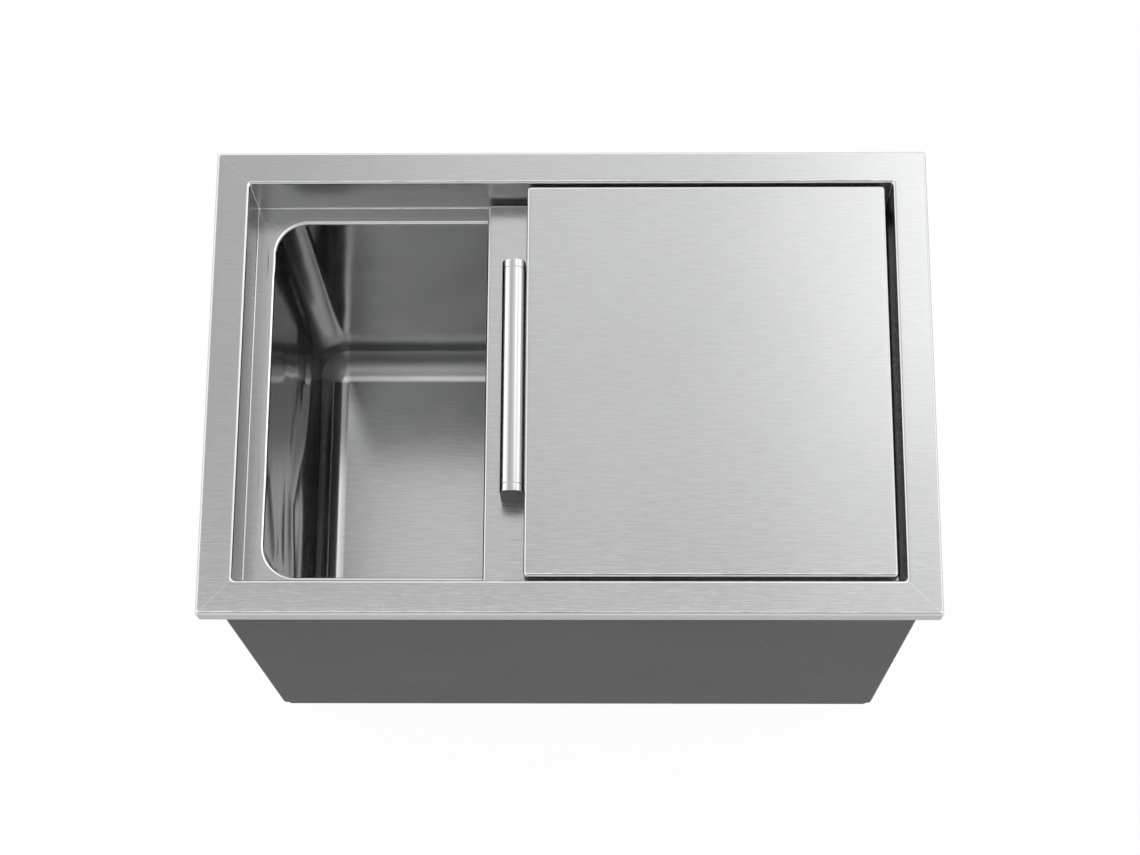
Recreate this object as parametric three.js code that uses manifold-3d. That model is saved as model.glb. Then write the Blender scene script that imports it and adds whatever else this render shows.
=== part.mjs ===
// Drop-in ice bin: a folded rim with an insulated basin, a lift-off upper lid and a sliding panel.
// Millimetres, +X to the right, +Y to the back, +Z up. The origin is the centre of the rim, in the
// plane of the counter that the rim's lip stands on.

import * as THREE from "three";
import { mergeVertices } from "three/addons/utils/BufferGeometryUtils.js";
import Module from "manifold-3d";

const wasm = await Module();
wasm.setup();

// Rim: lip, flange, recess wall and ledge folded from one sheet, mitred from four sides
const RIM_LENGTH = 457;
const RIM_WIDTH = 305;
const FLANGE_WIDTH = 21.7;
const LIP_HEIGHT = 16;
const LIP_RETURN = 8;
const RECESS_HEIGHT = 41.5;
const RIM_SHEET = 1.5;
const RIM_BEND = 0.5;
const LEDGE_BEND = 1;
const RIM_CORNER = 1.5;
const RECESS_CORNER = 2;

// Basin: straight walls set in from the recess, rounded corners and floor bends, and a floor
// that falls to the drain
const BASIN_END_INSET = 12.8;
const BASIN_SIDE_INSET = 11.55;
const BASIN_HEIGHT = 278.5;
const BASIN_CORNER = 21;
const BASIN_FLOOR_BEND = 20;
const BASIN_FLOOR_FALL = 2;
const BASIN_SHEET = 1.2;
const BASIN_LIP_WIDTH = 5;
const BASIN_LIP_BEND = 0.8;

// Casing: a wrap folded round the front and sides, a back sheet and a bottom pan
const CASING_INSET = 9.3;
const CASING_FLOOR_SPACE = 38;
const CASING_SHEET = 1;
const CASING_BEND = 1.5;
const CASING_RETURN = 14;
const PAN_HEIGHT = 22;
const PAN_REVEAL = 14;
const PAN_CORNER = 4;
const PAN_SEAT_RADIUS = 30;
const PAN_SEAT_SLOPE = 2;
const PAN_SEAT_DEPTH = 1.5;

// Upper lid: flush with the flange, carried by two rails
const LID_LEFT_EDGE = -27.9;
const LID_LIFT_GAP = 5.1;
const LID_SIDE_GAP = 2.1;
const LID_CORNER = 2.5;
const RAIL_WIDTH = 9;
const RAIL_THICKNESS = 3;
const RAIL_SETBACK = 2;
const RAIL_EDGE_ROUND = 0.8;
const RAIL_PAD_WIDTH = 7;
const RAIL_PAD_THICKNESS = 1.2;

// Sliding panel: lies on the ledge on two glides and runs under the rails
const PANEL_LENGTH = 186;
const PANEL_DROP = 30.5;
const PANEL_SIDE_GAP = 2.3;
const PANEL_CORNER = 2.5;
const PANEL_RUNNING_GAP = 1.2;
const GLIDE_WIDTH = 6;
const GLIDE_THICKNESS = 1.5;
const GLIDE_SETBACK = 0.9;
const GLIDE_END_SETBACK = 8;
const GLIDE_CHAMFER = 0.5;

// Both covers: a folded skin over a foam core, closed below by a shallow pan
const COVER_SHEET = 1;
const COVER_BEND = 1.2;
const COVER_LINER_SHARE = 0.5;
const COVER_LINER_GAP = 0.15;

// Handle: a round bar between two arched feet, screwed on from inside the panel
const HANDLE_LENGTH = 153;
const HANDLE_HEIGHT = 31.5;
const HANDLE_DIAMETER = 15;
const HANDLE_FOOT_THICKNESS = 5.2;
const HANDLE_SETBACK = 11.1;
const HANDLE_STOP_GAP = 0.5;
const HANDLE_SHIFT = 2.5;
const HANDLE_EDGE = 0.3;
const SCREW_DIAMETER = 3;
const SCREW_LENGTH = 12;
const SCREW_HEAD_DIAMETER = 6;
const SCREW_HEAD_HEIGHT = 2;
const SCREW_SOCKET_DIAMETER = 2.6;
const SCREW_SOCKET_DEPTH = 1.2;
const SCREW_HOLE_GAP = 0.15;

// Drain: a flanged body clamped through floor and casing by a lock nut
const DRAIN_SEAT_RADIUS = 30;
const DRAIN_SEAT_SLOPE = 3;
const DRAIN_SEAT_DEPTH = 3.5;
const DRAIN_FLANGE_RADIUS = 28;
const DRAIN_FLANGE_THICKNESS = 1.8;
const DRAIN_CUP_RADIUS = 21;
const DRAIN_CUP_WALL = 2.4;
const DRAIN_CUP_DEPTH = 9;
const DRAIN_CUP_TAPER = 0.8;
const DRAIN_CUP_FLOOR = 3;
const DRAIN_STEP = 2;
const DRAIN_BORE_RADIUS = 13;
const DRAIN_SPOUT_RADIUS = 16.7;
const DRAIN_SPOUT_REACH = 22;
const DRAIN_SPOUT_CHAMFER = 1;
const DRAIN_HOLE_GAP = 0.4;
const FLOOR_GASKET_THICKNESS = 1;
const OUTER_GASKET_RADIUS = 25;
const OUTER_GASKET_THICKNESS = 1.5;
const LOCK_NUT_ACROSS = 46;
const LOCK_NUT_HEIGHT = 8;
const LOCK_NUT_CHAMFER = 1;
const STRAINER_THICKNESS = 1.2;
const STRAINER_HOLE_DIAMETER = 3.6;
const STRAINER_RING_RADII = [6, 11.6];
const STRAINER_RING_COUNTS = [6, 12];
const PLUG_LIP_RADIUS = 22;
const PLUG_LIP_THICKNESS = 2;
const PLUG_DEPTH = 6.5;
const PLUG_NECK_RADIUS = 3.5;
const PLUG_KNOB_RADIUS = 6;
const PLUG_KNOB_HEIGHT = 3.5;
const PLUG_NECK_HEIGHT = 3;

// Clearances: between welded edges, between pieces that fit in each other, and round the foam
const WELD_GAP = 0.05;
const FIT_GAP = 0.2;
const FOAM_GAP = 0.3;
const SMALLEST_CORNER = 0.1;
const CUT_OVERRUN = 5;

// Facets
const BEND_STEPS = 3;
const HALF_CORNER_STEPS = 1;
const FLOOR_BEND_STEPS = 7;
const CORNER_STEPS = 6;
const SMALL_CORNER_STEPS = 3;
const BASIN_LONG_SPANS = 4;
const BASIN_SHORT_SPANS = 3;
const PAN_LONG_SPANS = 3;
const PAN_SHORT_SPANS = 2;
const ROUND_SEGMENTS = 32;
const SMALL_SEGMENTS = 16;
const HOLE_SEGMENTS = 8;

// Levels
const FLANGE_TOP = LIP_HEIGHT;
const FLANGE_UNDERSIDE = FLANGE_TOP - RIM_SHEET;
const LEDGE_TOP = FLANGE_TOP - RECESS_HEIGHT;
const FLOOR_TOP = LEDGE_TOP - BASIN_HEIGHT;
const SEAT_TOP = FLOOR_TOP - BASIN_FLOOR_FALL - DRAIN_SEAT_DEPTH;
const CASING_BOTTOM = FLOOR_TOP - CASING_FLOOR_SPACE;
const PAN_SEAT = CASING_BOTTOM + PAN_SEAT_DEPTH;
const NUT_SEAT = PAN_SEAT - OUTER_GASKET_THICKNESS;
const SPOUT_END = CASING_BOTTOM - DRAIN_SPOUT_REACH;
const PANEL_TOP = FLANGE_TOP - PANEL_DROP;
const PANEL_BOTTOM = LEDGE_TOP + GLIDE_THICKNESS;
const RAIL_BOTTOM = PANEL_TOP + PANEL_RUNNING_GAP;
const RAIL_TOP = RAIL_BOTTOM + RAIL_THICKNESS;
const LID_BOTTOM = RAIL_TOP + RAIL_PAD_THICKNESS;

// Plan sizes
const RECESS_HALF_LENGTH = RIM_LENGTH / 2 - FLANGE_WIDTH;
const RECESS_HALF_WIDTH = RIM_WIDTH / 2 - FLANGE_WIDTH;
const BASIN_HALF_LENGTH = RECESS_HALF_LENGTH - BASIN_END_INSET;
const BASIN_HALF_WIDTH = RECESS_HALF_WIDTH - BASIN_SIDE_INSET;
const CASING_HALF_LENGTH = RIM_LENGTH / 2 - CASING_INSET;
const CASING_HALF_WIDTH = RIM_WIDTH / 2 - CASING_INSET;
const LID_RIGHT_EDGE = RECESS_HALF_LENGTH - LID_LIFT_GAP;
const LID_HALF_WIDTH = RECESS_HALF_WIDTH - LID_SIDE_GAP;
const PANEL_HALF_WIDTH = RECESS_HALF_WIDTH - PANEL_SIDE_GAP;
const HANDLE_CENTRE_X = LID_LEFT_EDGE - HANDLE_STOP_GAP - HANDLE_DIAMETER / 2;
const PANEL_LEFT_EDGE = HANDLE_CENTRE_X - HANDLE_DIAMETER / 2 - HANDLE_SETBACK;

const FINISHES = {
  brushedSteel: { color: 0xc4c5c6, roughness: 0.32, metalness: 1 },
  glossySteel: { color: 0xb4b6b8, roughness: 0.14, metalness: 1 },
  polishedSteel: { color: 0xe2e3e4, roughness: 0.08, metalness: 1 },
  dullSteel: { color: 0x5f6061, roughness: 0.6, metalness: 0.7 },
  foam: { color: 0xe6ddc2, roughness: 0.9, metalness: 0 },
  rubber: { color: 0x1d1d1e, roughness: 0.7, metalness: 0 },
  slipPlastic: { color: 0xe9e9e6, roughness: 0.45, metalness: 0 },
};

const point = (x, y) => new THREE.Vector2(x, y);

// Closed meshes

// A geometry from points and triangles that share them.
function geometryOf(points, triangles) {
  const geometry = new THREE.BufferGeometry();
  const coordinates = points.flatMap((p) => [p.x, p.y, p.z]);
  geometry.setAttribute("position", new THREE.Float32BufferAttribute(coordinates, 3));
  geometry.setIndex(triangles);
  return geometry;
}

// Rings of equal counts, counter-clockwise from above, joined in order. The first is capped
// facing down and the last facing up, or the last joins the first again.
function loft(rings, { closed = false } = {}) {
  const count = rings[0].length;
  const points = rings.flat();
  const triangles = [];
  const bands = closed ? rings.length : rings.length - 1;
  for (let band = 0; band < bands; band++) {
    const low = band * count;
    const high = ((band + 1) % rings.length) * count;
    for (let i = 0; i < count; i++) {
      const next = (i + 1) % count;
      triangles.push(low + i, low + next, high + next);
      triangles.push(low + i, high + next, high + i);
    }
  }
  if (!closed) {
    capRing(points, triangles, 0, count, false);
    capRing(points, triangles, (rings.length - 1) * count, count, true);
  }
  return geometryOf(points, triangles);
}

// A fan from a new point in the middle of a ring.
function capRing(points, triangles, start, count, facesUp) {
  const middle = new THREE.Vector3();
  for (let i = 0; i < count; i++) middle.addScaledVector(points[start + i], 1 / count);
  const centre = points.push(middle) - 1;
  for (let i = 0; i < count; i++) {
    const here = start + i;
    const next = start + ((i + 1) % count);
    if (facesUp) triangles.push(centre, here, next);
    else triangles.push(centre, next, here);
  }
}

// A rounded rectangle, counter-clockwise from the middle of its +X side.
function roundedRing(halfLength, halfWidth, radius, z, grid) {
  const quarter = [];
  const { shortSpans, cornerSteps, longSpans } = grid;
  for (let i = 0; i < shortSpans; i++) {
    quarter.push(point(halfLength, ((halfWidth - radius) * i) / shortSpans));
  }
  for (let i = 0; i < cornerSteps; i++) {
    const angle = (Math.PI / 2) * (i / cornerSteps);
    const x = halfLength - radius + radius * Math.cos(angle);
    quarter.push(point(x, halfWidth - radius + radius * Math.sin(angle)));
  }
  for (let i = 0; i <= longSpans; i++) {
    quarter.push(point((halfLength - radius) * (1 - i / longSpans), halfWidth));
  }
  const forward = quarter.slice(0, -1);
  const backward = quarter.slice(1).reverse();
  const outline = [
    ...forward,
    ...backward.map((p) => point(-p.x, p.y)),
    ...forward.map((p) => point(-p.x, -p.y)),
    ...backward.map((p) => point(p.x, -p.y)),
  ];
  return outline.map((p) => new THREE.Vector3(p.x, p.y, z));
}

function circleRing(radius, z, count) {
  return Array.from({ length: count }, (_, i) => {
    const angle = (2 * Math.PI * i) / count;
    return new THREE.Vector3(radius * Math.cos(angle), radius * Math.sin(angle), z);
  });
}

const PLAIN_GRID = { shortSpans: 1, cornerSteps: SMALL_CORNER_STEPS, longSpans: 1 };
const BASIN_GRID = {
  shortSpans: BASIN_SHORT_SPANS,
  cornerSteps: CORNER_STEPS,
  longSpans: BASIN_LONG_SPANS,
};
const PAN_GRID = {
  shortSpans: PAN_SHORT_SPANS,
  cornerSteps: SMALL_CORNER_STEPS,
  longSpans: PAN_LONG_SPANS,
};

// A section of insets and heights carried round a rounded rectangle.
function ringsOf(outline, section, grid) {
  return section.map(({ x: inset, y: z }) => {
    const radius = Math.max(outline.corner - inset, SMALLEST_CORNER);
    return roundedRing(outline.halfLength - inset, outline.halfWidth - inset, radius, z, grid);
  });
}

// The two faces of a folded sheet. The path is the left-hand face with sharp corners, and each
// corner is bent to its inside radius.
function foldedSheet(path, thickness, bends, steps = bends.map(() => BEND_STEPS)) {
  const headings = path.slice(1).map((end, i) => end.clone().sub(path[i]).normalize());
  const leftOf = (heading) => point(-heading.y, heading.x);
  const shifted = (from, heading) => from.clone().addScaledVector(leftOf(heading), -thickness);
  const face = [path[0].clone()];
  const back = [shifted(path[0], headings[0])];
  bends.forEach((inside, i) => {
    const before = leftOf(headings[i]);
    const after = leftOf(headings[i + 1]);
    const turn = Math.sign(headings[i].cross(headings[i + 1]));
    const faceRadius = turn > 0 ? inside : inside + thickness;
    const backRadius = turn > 0 ? inside + thickness : inside;
    const reach = (turn * faceRadius) / (1 + before.dot(after));
    const centre = path[i + 1].clone().add(before.clone().add(after).multiplyScalar(reach));
    const sweep = turn * Math.acos(before.dot(after));
    for (let step = 0; step <= steps[i]; step++) {
      const normal = before.clone().rotateAround(point(0, 0), (sweep * step) / steps[i]);
      face.push(centre.clone().addScaledVector(normal, -turn * faceRadius));
      back.push(centre.clone().addScaledVector(normal, -turn * backRadius));
    }
  });
  const end = path[path.length - 1];
  face.push(end.clone());
  back.push(shifted(end, headings[headings.length - 1]));
  return { face, back };
}

// A closed outline pushed along Z between two levels.
function prism(outline, bottom, top) {
  const shape = new THREE.Shape(outline);
  const geometry = new THREE.ExtrudeGeometry(shape, { depth: top - bottom, bevelEnabled: false });
  return geometry.translate(0, 0, bottom);
}

// An outline in Y and Z pushed along X.
function barAlongX(outline, start, end) {
  const shape = new THREE.Shape(outline);
  const geometry = new THREE.ExtrudeGeometry(shape, { depth: end - start, bevelEnabled: false });
  return geometry.rotateZ(Math.PI / 2).rotateY(Math.PI / 2).translate(start, 0, 0);
}

// A profile of radii and heights turned about Z.
function revolve(profile, segments = ROUND_SEGMENTS) {
  return new THREE.LatheGeometry(profile, segments).rotateX(Math.PI / 2);
}

const closedProfile = (corners) => [...corners, corners[0].clone()];

function cylinder(radius, bottom, top, segments = ROUND_SEGMENTS) {
  const profile = [point(0, bottom), point(radius, bottom), point(radius, top), point(0, top)];
  return revolve(profile, segments);
}

// Joins and cuts

function manifoldOf(geometry) {
  const bare = geometry.clone();
  bare.deleteAttribute("normal");
  bare.deleteAttribute("uv");
  const merged = mergeVertices(bare);
  return new wasm.Manifold(
    new wasm.Mesh({
      numProp: 3,
      vertProperties: Float32Array.from(merged.attributes.position.array),
      triVerts: Uint32Array.from(merged.index.array),
    }),
  );
}

function geometryFrom(solid) {
  const { vertProperties, triVerts } = solid.getMesh();
  const geometry = new THREE.BufferGeometry();
  geometry.setAttribute("position", new THREE.BufferAttribute(vertProperties, 3));
  geometry.setIndex(new THREE.BufferAttribute(triVerts, 1));
  return geometry;
}

function cut(geometry, cutters) {
  const solid = cutters.reduce(
    (rest, cutter) => rest.subtract(manifoldOf(cutter)),
    manifoldOf(geometry),
  );
  return geometryFrom(solid);
}

// Rim

// The opening in the ledge that the basin's out-turned lip fills.
function lipOutline(gap = 0) {
  return {
    halfLength: BASIN_HALF_LENGTH + BASIN_LIP_WIDTH + gap,
    halfWidth: BASIN_HALF_WIDTH + BASIN_LIP_WIDTH + gap,
    corner: BASIN_CORNER + BASIN_LIP_WIDTH + gap,
  };
}

// The rim's section: how far each point lies in from the rim's outer edge, its level, and the
// radius that the welded corner has there in plan.
function rimSection() {
  const lip = lipOutline();
  const ledgeWidth = Math.max(
    RECESS_HALF_LENGTH - lip.halfLength,
    RECESS_HALF_WIDTH - lip.halfWidth,
  );
  const sheet = foldedSheet(
    [
      point(LIP_RETURN, 0),
      point(0, 0),
      point(0, FLANGE_TOP),
      point(FLANGE_WIDTH, FLANGE_TOP),
      point(FLANGE_WIDTH, LEDGE_TOP),
      point(FLANGE_WIDTH + ledgeWidth + lip.corner, LEDGE_TOP),
    ],
    RIM_SHEET,
    [RIM_BEND, RIM_BEND, RIM_BEND, LEDGE_BEND],
  );
  const rounded = (outerCorner, innerCorner) => (p) => ({
    inset: p.x,
    level: p.y,
    corner: p.x < FLANGE_WIDTH / 2 ? outerCorner : innerCorner,
  });
  const hiddenCorner = Math.max(RIM_CORNER - RIM_SHEET, SMALLEST_CORNER);
  const face = sheet.face.map(rounded(RIM_CORNER, RECESS_CORNER));
  const back = sheet.back.map(rounded(hiddenCorner, RECESS_CORNER + RIM_SHEET));
  return [...face, ...back.reverse()].reverse();
}

// One side of the rim between its two mitres, lying along X at the front, with half of a
// rounded corner at each end.
function rimSide(length, width) {
  const section = rimSection();
  const count = section.length;
  const sectionAt = (side, angle) =>
    section.map(({ inset, level, corner }) => {
      const along = length / 2 - inset - corner + corner * Math.cos(Math.PI / 2 - angle);
      const across = width / 2 - inset - corner + corner * Math.cos(angle);
      return new THREE.Vector3(side * along, -across, level);
    });
  const angles = Array.from(
    { length: HALF_CORNER_STEPS + 1 },
    (_, step) => (Math.PI / 4) * (step / HALF_CORNER_STEPS),
  );
  const rightEnd = angles.map((angle) => sectionAt(1, angle));
  const leftEnd = angles.map((angle) => sectionAt(-1, angle)).reverse();
  const sections = [...leftEnd, ...rightEnd];
  const triangles = [];
  for (let band = 0; band < sections.length - 1; band++) {
    const start = band * count;
    const end = start + count;
    for (let i = 0; i < count; i++) {
      const next = (i + 1) % count;
      triangles.push(start + i, start + next, end + next);
      triangles.push(start + i, end + next, end + i);
    }
  }
  const last = (sections.length - 1) * count;
  const mitre = sections[0].map((p) => point(p.x, p.z));
  THREE.ShapeUtils.triangulateShape(mitre, []).forEach(([a, b, c]) => {
    triangles.push(c, b, a);
    triangles.push(last + a, last + b, last + c);
  });
  return geometryOf(sections.flat(), triangles);
}

function rimPieces() {
  const opening = loft(
    ringsOf(
      lipOutline(WELD_GAP),
      [point(0, LEDGE_TOP - RIM_SHEET - CUT_OVERRUN), point(0, LEDGE_TOP + CUT_OVERRUN)],
      BASIN_GRID,
    ),
  );
  const sides = [
    ["rim_front", RIM_LENGTH, RIM_WIDTH, 0],
    ["rim_right", RIM_WIDTH, RIM_LENGTH, Math.PI / 2],
    ["rim_back", RIM_LENGTH, RIM_WIDTH, Math.PI],
    ["rim_left", RIM_WIDTH, RIM_LENGTH, -Math.PI / 2],
  ];
  return sides.map(([name, length, width, angle]) => {
    const side = rimSide(length, width).rotateZ(angle);
    return piece(name, cut(side, [opening]), "brushedSteel");
  });
}

// Basin

// The basin's sheet, from the lip's edge down the wall and in to the start of the floor.
function basinSheet(thickness) {
  const floorStart = BASIN_FLOOR_BEND + thickness;
  return foldedSheet(
    [
      point(-BASIN_LIP_WIDTH, LEDGE_TOP),
      point(0, LEDGE_TOP),
      point(0, FLOOR_TOP),
      point(floorStart, FLOOR_TOP),
    ],
    thickness,
    [BASIN_LIP_BEND, BASIN_FLOOR_BEND],
    [BEND_STEPS, FLOOR_BEND_STEPS],
  );
}

const BASIN_OUTLINE = {
  halfLength: BASIN_HALF_LENGTH,
  halfWidth: BASIN_HALF_WIDTH,
  corner: BASIN_CORNER,
};
const HOLE_RADIUS = DRAIN_CUP_RADIUS + DRAIN_HOLE_GAP;

// A pressed seat round a hole, as rings from its rim in to the hole.
function seatRings({ hole, radius, slope, rise }, level, count) {
  return [
    circleRing(radius + slope, level, count),
    circleRing(radius, level + rise, count),
    circleRing(hole, level + rise, count),
  ];
}

// The seat that the drain's flange lies in.
const FLANGE_SEAT = {
  hole: HOLE_RADIUS,
  radius: DRAIN_SEAT_RADIUS,
  slope: DRAIN_SEAT_SLOPE,
  rise: -DRAIN_SEAT_DEPTH,
};
const SEAT_RIM_LEVEL = FLOOR_TOP - BASIN_FLOOR_FALL;

function basin() {
  const sheet = basinSheet(BASIN_SHEET);
  const inside = ringsOf(BASIN_OUTLINE, sheet.face, BASIN_GRID);
  const outside = ringsOf(BASIN_OUTLINE, sheet.back, BASIN_GRID);
  const count = inside[0].length;
  const rings = [
    ...inside,
    ...seatRings(FLANGE_SEAT, SEAT_RIM_LEVEL, count),
    ...seatRings(FLANGE_SEAT, SEAT_RIM_LEVEL - BASIN_SHEET, count).reverse(),
    ...outside.reverse(),
  ];
  return piece("basin", loft(rings, { closed: true }), "glossySteel");
}

// The basin with its walls grown outward and filled, to cut room for it from the foam.
function basinPlug(grown) {
  const thickness = BASIN_SHEET + grown;
  const walls = ringsOf(BASIN_OUTLINE, basinSheet(thickness).back, BASIN_GRID).reverse();
  const seat = seatRings(FLANGE_SEAT, SEAT_RIM_LEVEL - thickness, walls[0].length).reverse();
  return loft([...seat, ...walls]);
}

// Casing and foam

const CASING_FIT = CASING_SHEET + FIT_GAP;

function casingWrap() {
  const x = CASING_HALF_LENGTH;
  const y = CASING_HALF_WIDTH;
  const sheet = foldedSheet(
    [
      point(x - CASING_RETURN, y),
      point(x, y),
      point(x, -y),
      point(-x, -y),
      point(-x, y),
      point(-x + CASING_RETURN, y),
    ],
    CASING_SHEET,
    [CASING_BEND, CASING_BEND, CASING_BEND, CASING_BEND],
  );
  const outline = [...sheet.face, ...sheet.back.reverse()];
  const wrap = prism(outline, CASING_BOTTOM + PAN_REVEAL, FLANGE_UNDERSIDE);
  return piece("casing_wrap", wrap, "dullSteel");
}

function casingBack() {
  const x = CASING_HALF_LENGTH - CASING_FIT - CASING_BEND;
  const y = CASING_HALF_WIDTH - CASING_FIT;
  const outline = [
    point(-x, y - CASING_SHEET),
    point(x, y - CASING_SHEET),
    point(x, y),
    point(-x, y),
  ];
  const bottom = CASING_BOTTOM + PAN_HEIGHT + FIT_GAP;
  return piece("casing_back", prism(outline, bottom, FLANGE_UNDERSIDE), "dullSteel");
}

// A shallow pan, with a raised seat round the drain for the outer gasket.
function casingBottom() {
  const outline = {
    halfLength: CASING_HALF_LENGTH - CASING_FIT,
    halfWidth: CASING_HALF_WIDTH - CASING_FIT,
    corner: PAN_CORNER,
  };
  const floorStart = CASING_BEND + 2 * CASING_SHEET;
  const sheet = foldedSheet(
    [
      point(floorStart, CASING_BOTTOM),
      point(0, CASING_BOTTOM),
      point(0, CASING_BOTTOM + PAN_HEIGHT),
    ],
    CASING_SHEET,
    [CASING_BEND],
  );
  const outside = ringsOf(outline, sheet.face, PAN_GRID);
  const inside = ringsOf(outline, sheet.back, PAN_GRID);
  const count = outside[0].length;
  const seat = {
    hole: DRAIN_SPOUT_RADIUS + DRAIN_HOLE_GAP,
    radius: PAN_SEAT_RADIUS,
    slope: PAN_SEAT_SLOPE,
    rise: PAN_SEAT_DEPTH,
  };
  const rings = [
    ...inside.reverse(),
    ...seatRings(seat, CASING_BOTTOM + CASING_SHEET, count),
    ...seatRings(seat, CASING_BOTTOM, count).reverse(),
    ...outside,
  ];
  return piece("casing_bottom", loft(rings, { closed: true }), "dullSteel");
}

// A box from half sizes between two levels.
function block(halfLength, halfWidth, bottom, top) {
  const outline = [
    point(-halfLength, -halfWidth),
    point(halfLength, -halfWidth),
    point(halfLength, halfWidth),
    point(-halfLength, halfWidth),
  ];
  return prism(outline, bottom, top);
}

function insulation() {
  const shell = CASING_FIT + CASING_SHEET + FOAM_GAP;
  const wall = RIM_SHEET + FOAM_GAP;
  const outline = {
    halfLength: CASING_HALF_LENGTH - shell,
    halfWidth: CASING_HALF_WIDTH - shell,
    corner: PAN_CORNER,
  };
  const panTop = CASING_BOTTOM + CASING_SHEET + FOAM_GAP;
  const section = [
    point(CASING_BEND, panTop),
    point(0, panTop + CASING_BEND),
    point(0, FLANGE_UNDERSIDE - FOAM_GAP),
  ];
  const filling = loft(ringsOf(outline, section, PLAIN_GRID));
  const recess = block(
    RECESS_HALF_LENGTH + wall,
    RECESS_HALF_WIDTH + wall,
    LEDGE_TOP - wall,
    FLANGE_TOP + CUT_OVERRUN,
  );
  const drainHole = cylinder(HOLE_RADIUS, CASING_BOTTOM - CUT_OVERRUN, FLOOR_TOP);
  const seatHole = cylinder(
    PAN_SEAT_RADIUS + PAN_SEAT_SLOPE + FOAM_GAP,
    CASING_BOTTOM - CUT_OVERRUN,
    panTop + PAN_SEAT_DEPTH,
  );
  const cutters = [recess, basinPlug(FOAM_GAP), drainHole, seatHole];
  return piece("insulation", cut(filling, cutters), "foam");
}

// Rails under the upper lid

function lidRails() {
  const start = LID_LEFT_EDGE + RAIL_SETBACK;
  const end = RECESS_HALF_LENGTH - RECESS_CORNER - WELD_GAP;
  const wall = RECESS_HALF_WIDTH - WELD_GAP;
  const inner = wall - RAIL_WIDTH;
  const padOuter = LID_HALF_WIDTH;
  const padInner = padOuter - RAIL_PAD_WIDTH;
  return [
    ["front", -1],
    ["back", 1],
  ].flatMap(([where, side]) => {
    const rail = [
      point(wall, RAIL_BOTTOM),
      point(wall, RAIL_TOP),
      point(inner + RAIL_EDGE_ROUND, RAIL_TOP),
      point(inner, RAIL_TOP - RAIL_EDGE_ROUND),
      point(inner, RAIL_BOTTOM + RAIL_EDGE_ROUND),
      point(inner + RAIL_EDGE_ROUND, RAIL_BOTTOM),
    ];
    const pad = [
      point(padOuter, RAIL_TOP),
      point(padOuter, LID_BOTTOM),
      point(padInner, LID_BOTTOM),
      point(padInner, RAIL_TOP),
    ];
    const mirrored = (outline) => outline.map((p) => point(side * p.x, p.y));
    return [
      piece(`lid_rail_${where}`, barAlongX(mirrored(rail), start, end), "brushedSteel"),
      piece(`rail_pad_${where}`, barAlongX(mirrored(pad), start, LID_RIGHT_EDGE), "rubber"),
    ];
  });
}

// Covers

// A folded skin, a foam core and a liner pan that closes it from below, centred on X = 0.
function cover(name, { halfLength, halfWidth, corner, bottom, top, skinCuts, coreCuts }) {
  const height = top - bottom;
  const outline = { halfLength, halfWidth, corner };
  const edge = COVER_SHEET + COVER_BEND;
  const skin = foldedSheet(
    [point(0, bottom), point(0, top), point(2 * edge, top)],
    COVER_SHEET,
    [COVER_BEND],
  );
  const skinRings = ringsOf(outline, [...skin.back.reverse(), ...skin.face], PLAIN_GRID);

  const linerInset = COVER_SHEET + COVER_LINER_GAP;
  const linerOutline = {
    halfLength: halfLength - linerInset,
    halfWidth: halfWidth - linerInset,
    corner: corner - linerInset,
  };
  const liner = foldedSheet(
    [point(2 * edge, bottom), point(0, bottom), point(0, bottom + height * COVER_LINER_SHARE)],
    COVER_SHEET,
    [COVER_BEND],
  );
  const linerRings = ringsOf(linerOutline, [...liner.face, ...liner.back.reverse()], PLAIN_GRID);

  const coreInset = linerInset + COVER_SHEET + FOAM_GAP;
  const core = block(
    halfLength - coreInset - COVER_BEND,
    halfWidth - coreInset - COVER_BEND,
    bottom + COVER_SHEET + FOAM_GAP,
    top - COVER_SHEET - FOAM_GAP,
  );
  return [
    piece(`${name}_skin`, cut(loft(skinRings), skinCuts), "brushedSteel"),
    piece(`${name}_core`, cut(core, coreCuts), "foam"),
    piece(`${name}_liner`, loft(linerRings), "brushedSteel"),
  ];
}

function upperLid() {
  const lid = new THREE.Group();
  lid.position.x = (LID_LEFT_EDGE + LID_RIGHT_EDGE) / 2;
  lid.add(
    ...cover("upper_lid", {
      halfLength: (LID_RIGHT_EDGE - LID_LEFT_EDGE) / 2,
      halfWidth: LID_HALF_WIDTH,
      corner: LID_CORNER,
      bottom: LID_BOTTOM,
      top: FLANGE_TOP,
      skinCuts: [],
      coreCuts: [],
    }),
  );
  return lid;
}

// Sliding panel

const FOOT_PLACES = [
  ["front", HANDLE_SHIFT - HANDLE_LENGTH / 2, 1],
  ["back", HANDLE_SHIFT + HANDLE_LENGTH / 2, -1],
];

function panelGlides() {
  const outer = PANEL_HALF_WIDTH - GLIDE_SETBACK;
  const inner = outer - GLIDE_WIDTH;
  const reach = PANEL_LENGTH / 2 - GLIDE_END_SETBACK;
  return [
    ["front", -1],
    ["back", 1],
  ].map(([where, side]) => {
    const outline = [
      point(side * outer, PANEL_BOTTOM),
      point(side * inner, PANEL_BOTTOM),
      point(side * inner, LEDGE_TOP + GLIDE_CHAMFER),
      point(side * (inner + GLIDE_CHAMFER), LEDGE_TOP),
      point(side * (outer - GLIDE_CHAMFER), LEDGE_TOP),
      point(side * outer, LEDGE_TOP + GLIDE_CHAMFER),
    ];
    return piece(`panel_glide_${where}`, barAlongX(outline, -reach, reach), "slipPlastic");
  });
}

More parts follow.
